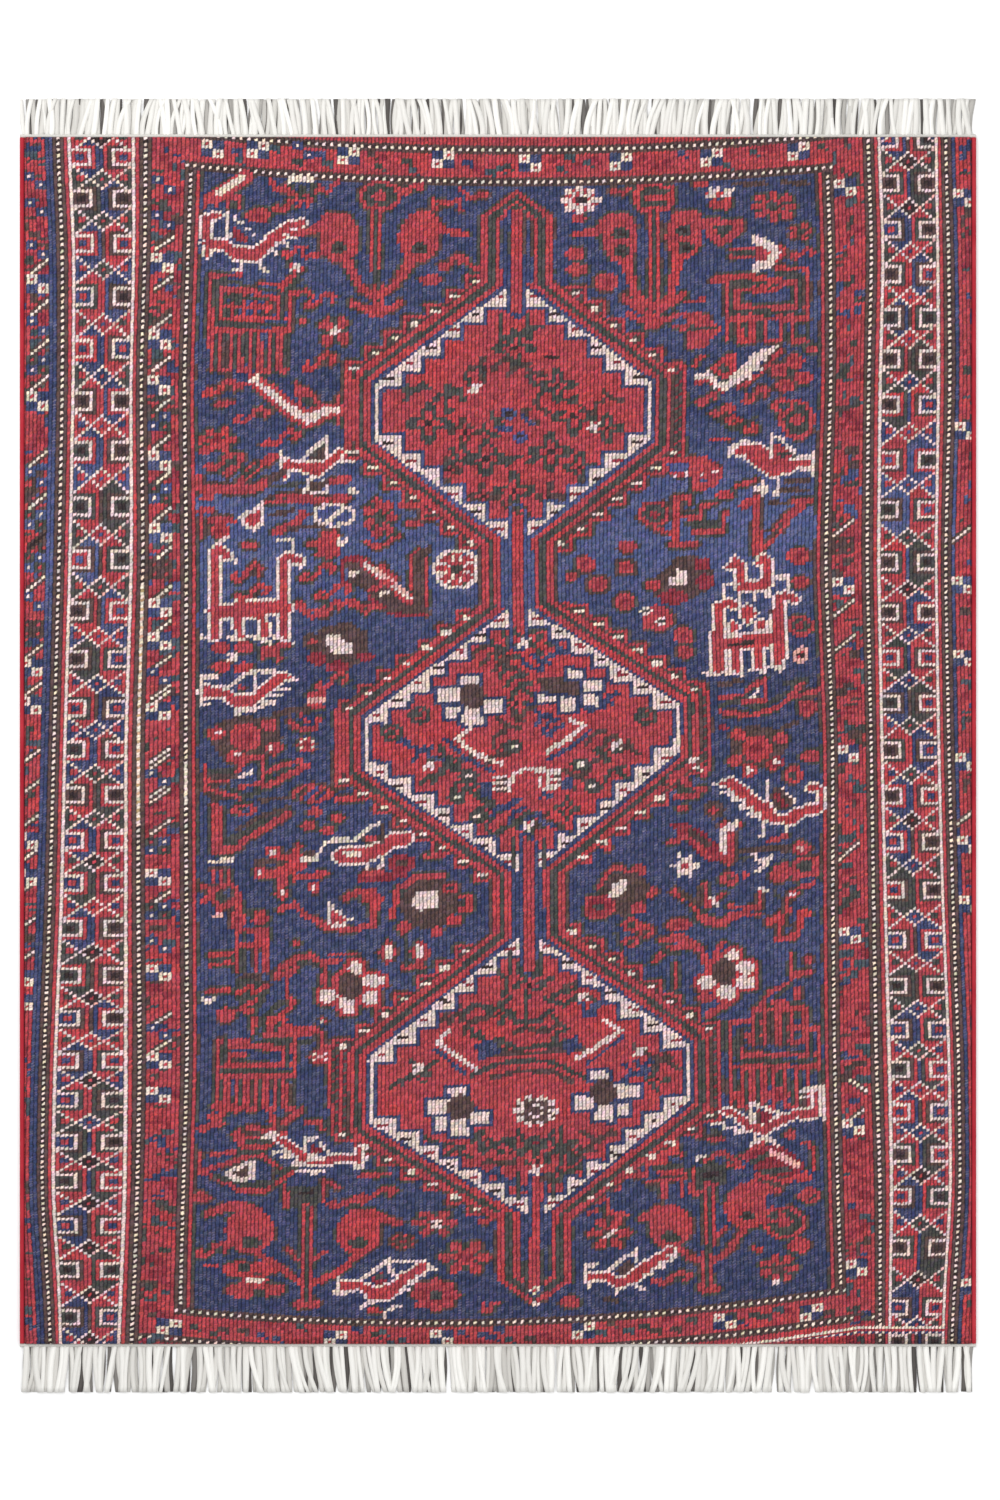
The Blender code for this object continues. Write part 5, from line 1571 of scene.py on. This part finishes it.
def lay(name, mesh, material, node):
    """A finished piece in the place of its solid."""
    mesh.materials.append(material)
    piece = bpy.data.objects.new(name, mesh)
    bpy.context.scene.collection.objects.link(piece)
    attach(piece, "root")
    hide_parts(node)
    return piece


# Dyed wool: each knot takes its own dye, with painted shade darkening the gaps between the columns and the
# rows
WOOL_DYES = ("2F3552", "9E4047", "454442", "523F3D", "D3BCB8", "382C2C", "84303A", "474D78", "D29C98",
             "AF8E70", "D6C3B6", "434D56")
wool_material, wool, shader = new_material("knotted_wool")
cell_map = add(wool, "UVMap", uv_map="cell").outputs[0]
cell = add(wool, "SeparateXYZ", cell_map)
knots_map = add(wool, "UVMap", uv_map="knots").outputs[0]
knot = add(wool, "SeparateXYZ", knots_map)
# Drawn up by hand, the knots wander: the place looked up is shifted by noise, and leans across each column
wander = add(wool, "SeparateXYZ", spots(knots_map, (0.8, 0.6, 1.0), 1.0, 3.0).outputs[1])
fibre = spots(knots_map, (3.0, 1.4, 1.0), 1.0, 4.0).outputs[0]
ragged = minus(fibre, 0.5)
aside = sums("MULTIPLY_ADD", minus(wander.outputs[0], 0.5), 0.7, times(ragged, 0.5))
lean = times(minus(cell.outputs[0], 0.5), 0.55)
along = sums("MULTIPLY_ADD", minus(wander.outputs[1], 0.5), 1.3, sums("MULTIPLY_ADD", ragged, 0.8, lean))
from_side = minus(0.5, sums("ABSOLUTE", minus(cell.outputs[0], 0.5)))
which_side = sums("SIGN", minus(0.5, cell.outputs[0]))
crosses = sums("GREATER_THAN", times(aside, which_side), from_side)
own_code = add(wool, "Attribute", attribute_name="wool_code").outputs["Fac"]
beside_code = add(wool, "Attribute", attribute_name="beside_code").outputs["Fac"]
knot_codes = add(wool, "Mix", crosses, None, own_code, beside_code, data_type="FLOAT").outputs[0]
row_here = sums("MINIMUM", sums("MAXIMUM", plus(cell.outputs[1], along), 0.0), 5.999)
place_value = sums("ROUND", sums("POWER", 16.0, sums("FLOOR", row_here)))
shifted = sums("FLOOR", sums("DIVIDE", knot_codes, place_value))
dye_number = sums("FRACT", sums("DIVIDE", shifted, 16.0))
dye = ramp(plus(dye_number, 0.5 / 16.0),
           [(number / 16.0, linear(code)) for number, code in enumerate(WOOL_DYES)], "CONSTANT")
is_navy = sums("LESS_THAN", dye_number, 0.5 / 16.0)
is_red = sums("COMPARE", dye_number, 1.0 / 16.0, 0.01)

# Each knot has a number of its own, from which its shade is drawn
knot_across = minus(knot.outputs[0], aside)
knot_down = plus(knot.outputs[1], along)
knot_number = add(wool, "CombineXYZ", sums("FLOOR", knot_across), sums("FLOOR", knot_down)).outputs[0]
knot_shade = add(wool, "TexWhiteNoise", knot_number, noise_dimensions="2D")

# Abrash: batches of blue dyed lighter, in bands along the rows, and red that drifts to orange
row_share = sums("DIVIDE", knot.outputs[1], float(KNOT_ROWS))
band_noise = spots(knots_map, (0.012, 0.11, 1.0), 1.0, 3.0).outputs[0]
BATCHES = (
    # share of the length from the top, how light its blue is
    (0, 0.28), (0.10, 0.30), (0.155, 0.55), (0.185, 0.22), (0.245, 0.40), (0.27, 0.80), (0.33, 0.95),
    (0.375, 0.50), (0.40, 0.30), (0.44, 0.16), (0.52, 0.36), (0.60, 0.24), (0.66, 0.44), (0.73, 0.30),
    (0.85, 0.30), (1, 0.12),
)
batch = ramp(plus(row_share, times(minus(band_noise, 0.5), 0.03)), BATCHES)
lighter = times(is_navy, times(batch, plus(band_noise, 0.35)))
coloured = blend_colours(lighter, dye, linear("4E5781"))
drift = spots(knots_map, (0.05, 0.07, 1.0), 1.0, 4.0).outputs[0]
brighter = ramp(knot_shade.outputs[0], [(0.55, 0.0), (1.0, 0.30)])
orange = plus(ramp(drift, [(0.47, 0.0), (0.70, 0.50)]), brighter)
coloured = blend_colours(times(is_red, orange), coloured, linear("B83A3B"))

# Painted shade: the gaps between the ribs and the rows are darkened towards near black, with pale cotton
# wefts in some of them, most in the blue
column_off = sums("ABSOLUTE", minus(sums("FRACT", knot_across), 0.5))
row_off = sums("ABSOLUTE", minus(sums("FRACT", knot_down), 0.5))
column_gap_shade = ramp(times(column_off, 2.0), [(0.42, 0.0), (0.95, 1.0)])
row_gap = ramp(times(row_off, 2.0), [(0.62, 0.0), (1.0, 1.0)])
painted_gap_shade = sums("MAXIMUM", times(column_gap_shade, 0.84), times(row_gap, 0.50))
coloured = blend_colours(painted_gap_shade, coloured, linear("15121A"))
cotton_here = ramp(knot_shade.outputs[0], [(0.45, 0.0), (0.95, 1.0)])
weft = times(times(row_gap, cotton_here), sums("MULTIPLY_ADD", is_navy, 0.22, 0.13))
coloured = blend_colours(weft, coloured, linear("A9A3B4"))
shade = plus(plus(times(knot_shade.outputs[0], 0.42), times(fibre, 0.80)), 0.55)
tint = add(wool, "VectorMath", knot_shade.outputs[1], (0.20, 0.18, 0.28), (0.90, 0.91, 0.86),
           operation="MULTIPLY_ADD")
tinted = add(wool, "VectorMath", coloured, tint.outputs[0], operation="MULTIPLY")
final = add(wool, "VectorMath", tinted.outputs[0], operation="SCALE")
join(wool, final.inputs["Scale"], shade)
dress(wool, shader, final.outputs[0], 0.92, 0.12)
raise_up(wool, shader, minus(times(fibre, 0.7), times(row_gap, 0.8)), 0.55, 0.0006)
rug = lay("rug_cloth", cloth, wool_material, "rug")

# The overcast sides
# Each side is bound with crimson wool wound round the outermost warps, close turn by close turn.
TURN_PITCH = 0.0030
ROUND_SIDES = 10
RINGS_A_TURN = 3


def wound_edge(name, node, material):
    """A tube with a thread of wool round it: its radius swells by a sine of height plus angle."""
    low, high = plain(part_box(node))
    centre_x = (low[0] + high[0]) / 2.0
    reach_x, reach_z = (high[0] - low[0]) / 2.0, (high[2] - low[2]) / 2.0
    turns = int((high[1] - low[1]) / TURN_PITCH)
    rings = turns * RINGS_A_TURN + 1
    along = np.linspace(low[1], high[1], rings)
    angle = np.arange(ROUND_SIDES) / ROUND_SIDES * 2.0 * np.pi
    t, a = np.meshgrid(along, angle, indexing="ij")
    turn = (t - along[0]) / TURN_PITCH + a / (2.0 * np.pi)
    swell = 0.90 + 0.10 * np.abs(np.sin(np.pi * turn))
    x = centre_x + reach_x * swell * np.cos(a)
    z = reach_z + 0.0001 + (reach_z - 0.0002) * swell * np.sin(a)
    ring = np.arange(rings * ROUND_SIDES).reshape(rings, ROUND_SIDES)
    nxt = np.roll(ring, -1, axis=1)
    faces = np.stack([ring[:-1], nxt[:-1], nxt[1:], ring[1:]], axis=-1).reshape(-1, 4)
    ends = [ring[0].tolist(), ring[-1][::-1].tolist()]
    mesh = bpy.data.meshes.new(name)
    mesh.from_pydata(np.stack([x, t, z], axis=-1).reshape(-1, 3).tolist(), [], faces[:, ::-1].tolist() + ends)
    mesh.polygons.foreach_set("use_smooth", np.ones(len(mesh.polygons), bool))
    lay(name, mesh, material, node)


edging_material, edging, shader = new_material("overcast_wool")
place = add(edging, "TexCoord").outputs["Object"]
cloudy = add(edging, "TexNoise", place, None, 14.0, 3.0).outputs[0]
strands = add(edging, "TexNoise", place, None, 900.0, 2.0).outputs[0]
tone = blend_colours(ramp(cloudy, [(0.35, 0.0), (0.7, 1.0)]), linear("A3202F"), linear("C23A44"))
tone = blend_colours(times(strands, 0.35), tone, linear("5C1520"))
dress(edging, shader, tone, 0.9, 0.15)
for hand in ("left", "right"):
    wound_edge("overcast_" + hand, "selvedge_" + hand, edging_material)

# The fringes
# The cotton warps hang free past the last weft and are cut straight. They lie as soft flat locks,
# one over another, on a narrow woven end strip. The lower locks are a darker grey, which is painted shade
# under the upper ones.
LOCK_RINGS = 9
LOCK_SIDES = 6
END_MARGIN = 0.004
STRIP_STEPS = 576


def locks(count, low, high, outward, width, tall, lift, seed, lean):
    """Flat locks: oval rings along a leaning line. The lean goes as the distance to the power 1.4."""
    dice = np.random.default_rng(seed)
    t = np.linspace(0.0, 1.0, LOCK_RINGS)[None, :, None]
    a = ((np.arange(LOCK_SIDES) + 0.5) / LOCK_SIDES * 2.0 * np.pi)[None, None, :]
    place = (np.arange(count) + 0.5 + dice.uniform(-0.42, 0.42, count)) / count
    half = (width / 2.0) * dice.uniform(0.72, 1.15, count)
    drift = np.sin(place * 9.0 + seed) * 0.5 + np.sin(place * 23.0 + 1.7 * seed) * 0.35
    aside = lean * (drift + dice.uniform(-0.75, 0.75, count))
    curl = dice.uniform(-0.0022, 0.0022, count)
    root_y, tip_y = (low[1], high[1])[::outward]
    root_x = low[0] + END_MARGIN + place * (high[0] - low[0] - 2.0 * END_MARGIN)
    taper_off = 1.0 - 0.10 * t ** 6
    x = root_x[:, None, None] + aside[:, None, None] * t ** 1.4
    x = x + curl[:, None, None] * np.sin(np.pi * t * 1.1) + half[:, None, None] * taper_off * np.cos(a)
    x = np.clip(x, low[0] + 0.0002, high[0] - 0.0002)
    y = np.broadcast_to(root_y + (tip_y - root_y) * (0.01 + 0.985 * t), x.shape)
    y = y - outward * (dice.uniform(0.0, 0.0010, count)[:, None, None] * t)
    up = tall / 2.0 * dice.uniform(0.8, 1.1, count)[:, None, None]
    z = lift + up + up * np.sin(a) * taper_off
    z = z + 0.0004 * np.sin(np.pi * t) * dice.random(count)[:, None, None]
    ring = np.arange(count * LOCK_RINGS * LOCK_SIDES).reshape(count, LOCK_RINGS, LOCK_SIDES)
    nxt = np.roll(ring, -1, axis=2)
    faces = np.stack([ring[:, :-1], nxt[:, :-1], nxt[:, 1:], ring[:, 1:]], axis=-1).reshape(-1, 4)
    ends = np.concatenate([ring[:, 0, ::-1], ring[:, -1]])
    if outward > 0:
        faces, ends = faces[:, ::-1], ends[:, ::-1]
    z = np.broadcast_to(z, x.shape)
    points = np.stack([x, y, z], axis=-1).reshape(-1, 3)
    return points, faces.tolist(), ends.tolist(), dice.random(count)


def fringe(name, node, outward, seed, material):
    """Three layers of locks and their end strip, in one mesh. Each face carries its lock's tone, and the
    lower layers are darker as painted shade under the upper ones.
    """
    low, high = plain(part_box(node))
    layers = (
        # count, width, height, lift, lean, darkest and lightest tone; the lower layers are darker as painted
        # shade
        (150, 0.0088, 0.0009, 0.0001, 0.004, 0.12, 0.62),
        (132, 0.0076, 0.0019, 0.0005, 0.008, 0.55, 0.9),
        (112, 0.0074, 0.0020, 0.0015, 0.011, 0.78, 1.0),
    )
    points, faces, shades = [], [], []
    start = 0
    for place, (count, width, tall, lift, lean, dark, light) in enumerate(layers):
        added, quads_here, caps, luck = locks(count, low, high, outward, width, tall, lift, seed + place,
                                              lean)
        tone = dark + (light - dark) * luck
        points.append(added)
        faces += [[corner + start for corner in face] for face in quads_here + caps]
        shades += [np.repeat(tone, (LOCK_RINGS - 1) * LOCK_SIDES), np.tile(tone, 2)]
        start += len(added)
    root_y = low[1] if outward > 0 else high[1]
    steps = np.linspace(low[0] + 0.0003, high[0] - 0.0003, STRIP_STEPS)
    outline_y = np.array([0.0001, 0.0001, 0.0022, 0.0042, 0.0046])
    outline_z = np.array([0.0001, 0.0042, 0.0046, 0.0030, 0.0001])
    wave = 1.0 + 0.10 * np.sin(np.arange(STRIP_STEPS) * np.pi + 0.6)[:, None]
    strip_y = root_y + outward * outline_y * wave
    strip = np.stack([np.broadcast_to(steps[:, None], strip_y.shape), strip_y, outline_z * wave], axis=-1)
    ring = np.arange(strip_y.size).reshape(strip_y.shape) + start
    nxt = np.roll(ring, -1, axis=1)
    strip_faces = np.stack([ring[:-1], nxt[:-1], nxt[1:], ring[1:]], axis=-1).reshape(-1, 4)
    strip_ends = [ring[0, ::-1], ring[-1]]
    if outward < 0:
        strip_faces = strip_faces[:, ::-1]
        strip_ends = [ring[0], ring[-1, ::-1]]
    points.append(strip.reshape(-1, 3))
    faces += strip_faces.tolist() + [end.tolist() for end in strip_ends]
    shades.append(np.full(len(strip_faces) + 2, 0.62))
    mesh = bpy.data.meshes.new(name)
    mesh.from_pydata(np.concatenate(points).tolist(), [], faces)
    mesh.polygons.foreach_set("use_smooth", np.ones(len(mesh.polygons), bool))
    tone_mark = mesh.attributes.new("lock_tone_painted_shade", "FLOAT", "FACE")
    tone_mark.data.foreach_set("value", np.concatenate(shades).astype(np.float32))
    lay(name, mesh, material, node)


cotton_material, cotton, shader = new_material("warp_cotton")
lock_tone_painted_shade = add(cotton, "Attribute", attribute_name="lock_tone_painted_shade").outputs["Fac"]
place = add(cotton, "TexCoord").outputs["Object"]
hairs = spots(place, (900.0, 60.0, 300.0), 1.0, 4.0).outputs[0]
# The dark end of this ramp colours the lowest locks as painted shade between the upper ones; the pale end is
# the cotton's own white
tone = ramp(lock_tone_painted_shade, [(0.0, linear("3B3736")), (0.3, linear("6A6663")), (0.6, linear("CFCDC8")),
                                 (1.0, linear("F3F2EE"))])
tone = blend_colours(times(hairs, 0.30), tone, linear("B9B5AF"), "MULTIPLY")
dress(cotton, shader, tone, 0.85, 0.2)
raise_up(cotton, shader, hairs, 0.5, 0.0004)
fringe("warp_fringe_top", "fringe_top", 1, 31, cotton_material)
fringe("warp_fringe_bottom", "fringe_bottom", -1, 47, cotton_material)

# Floor, lights and camera
floor_mesh = bpy.data.meshes.new("floor")
floor_corners = [(x, y, -0.0005) for x, y in ((-6, -6), (6, -6), (6, 6), (-6, 6))]
floor_mesh.from_pydata(floor_corners, [], [(0, 1, 2, 3)])
floor = bpy.data.objects.new("floor", floor_mesh)
bpy.context.scene.collection.objects.link(floor)
paint, _, shader = new_material("floor_paint")
shader.inputs["Base Color"].default_value = (0.93, 0.93, 0.93, 1.0)
shader.inputs["Roughness"].default_value = 0.9
floor_mesh.materials.append(paint)

LIGHTS = (
    # name, place, size, watts
    ("window_light", (-1.6, 1.8, 2.6), 2.2, 62),
    ("fill_light", (2.2, -1.4, 2.8), 2.6, 34),
    ("top_light", (0.2, 0.2, 3.6), 3, 46),
)
for name, spot, size, watts in LIGHTS:
    lamp = bpy.data.lights.new(name, "AREA")
    lamp.shape = "SQUARE"
    lamp.size = size
    lamp.energy = watts
    light = bpy.data.objects.new(name, lamp)
    light.location = spot
    light.rotation_euler = (-Vector(spot)).to_track_quat("-Z", "Y").to_euler()
    bpy.context.scene.collection.objects.link(light)
world = bpy.data.worlds.new("studio")
world.use_nodes = True
world.node_tree.nodes["Background"].inputs["Color"].default_value = (1.0, 1.0, 1.0, 1.0)
world.node_tree.nodes["Background"].inputs["Strength"].default_value = 0.55
bpy.context.scene.world = world

CAMERA_HEIGHT = 3.6
FRAME_HEIGHT = 1.8006
lens = bpy.data.cameras.new("camera")
lens.sensor_fit = "VERTICAL"
lens.sensor_height = 36.0
lens.lens = 36.0 * (CAMERA_HEIGHT - 0.009) / FRAME_HEIGHT
camera = bpy.data.objects.new("camera", lens)
camera.location = (0.0024, -0.0054, CAMERA_HEIGHT)
bpy.context.scene.collection.objects.link(camera)
bpy.context.scene.camera = camera
bpy.context.scene.view_settings.view_transform = "Standard"
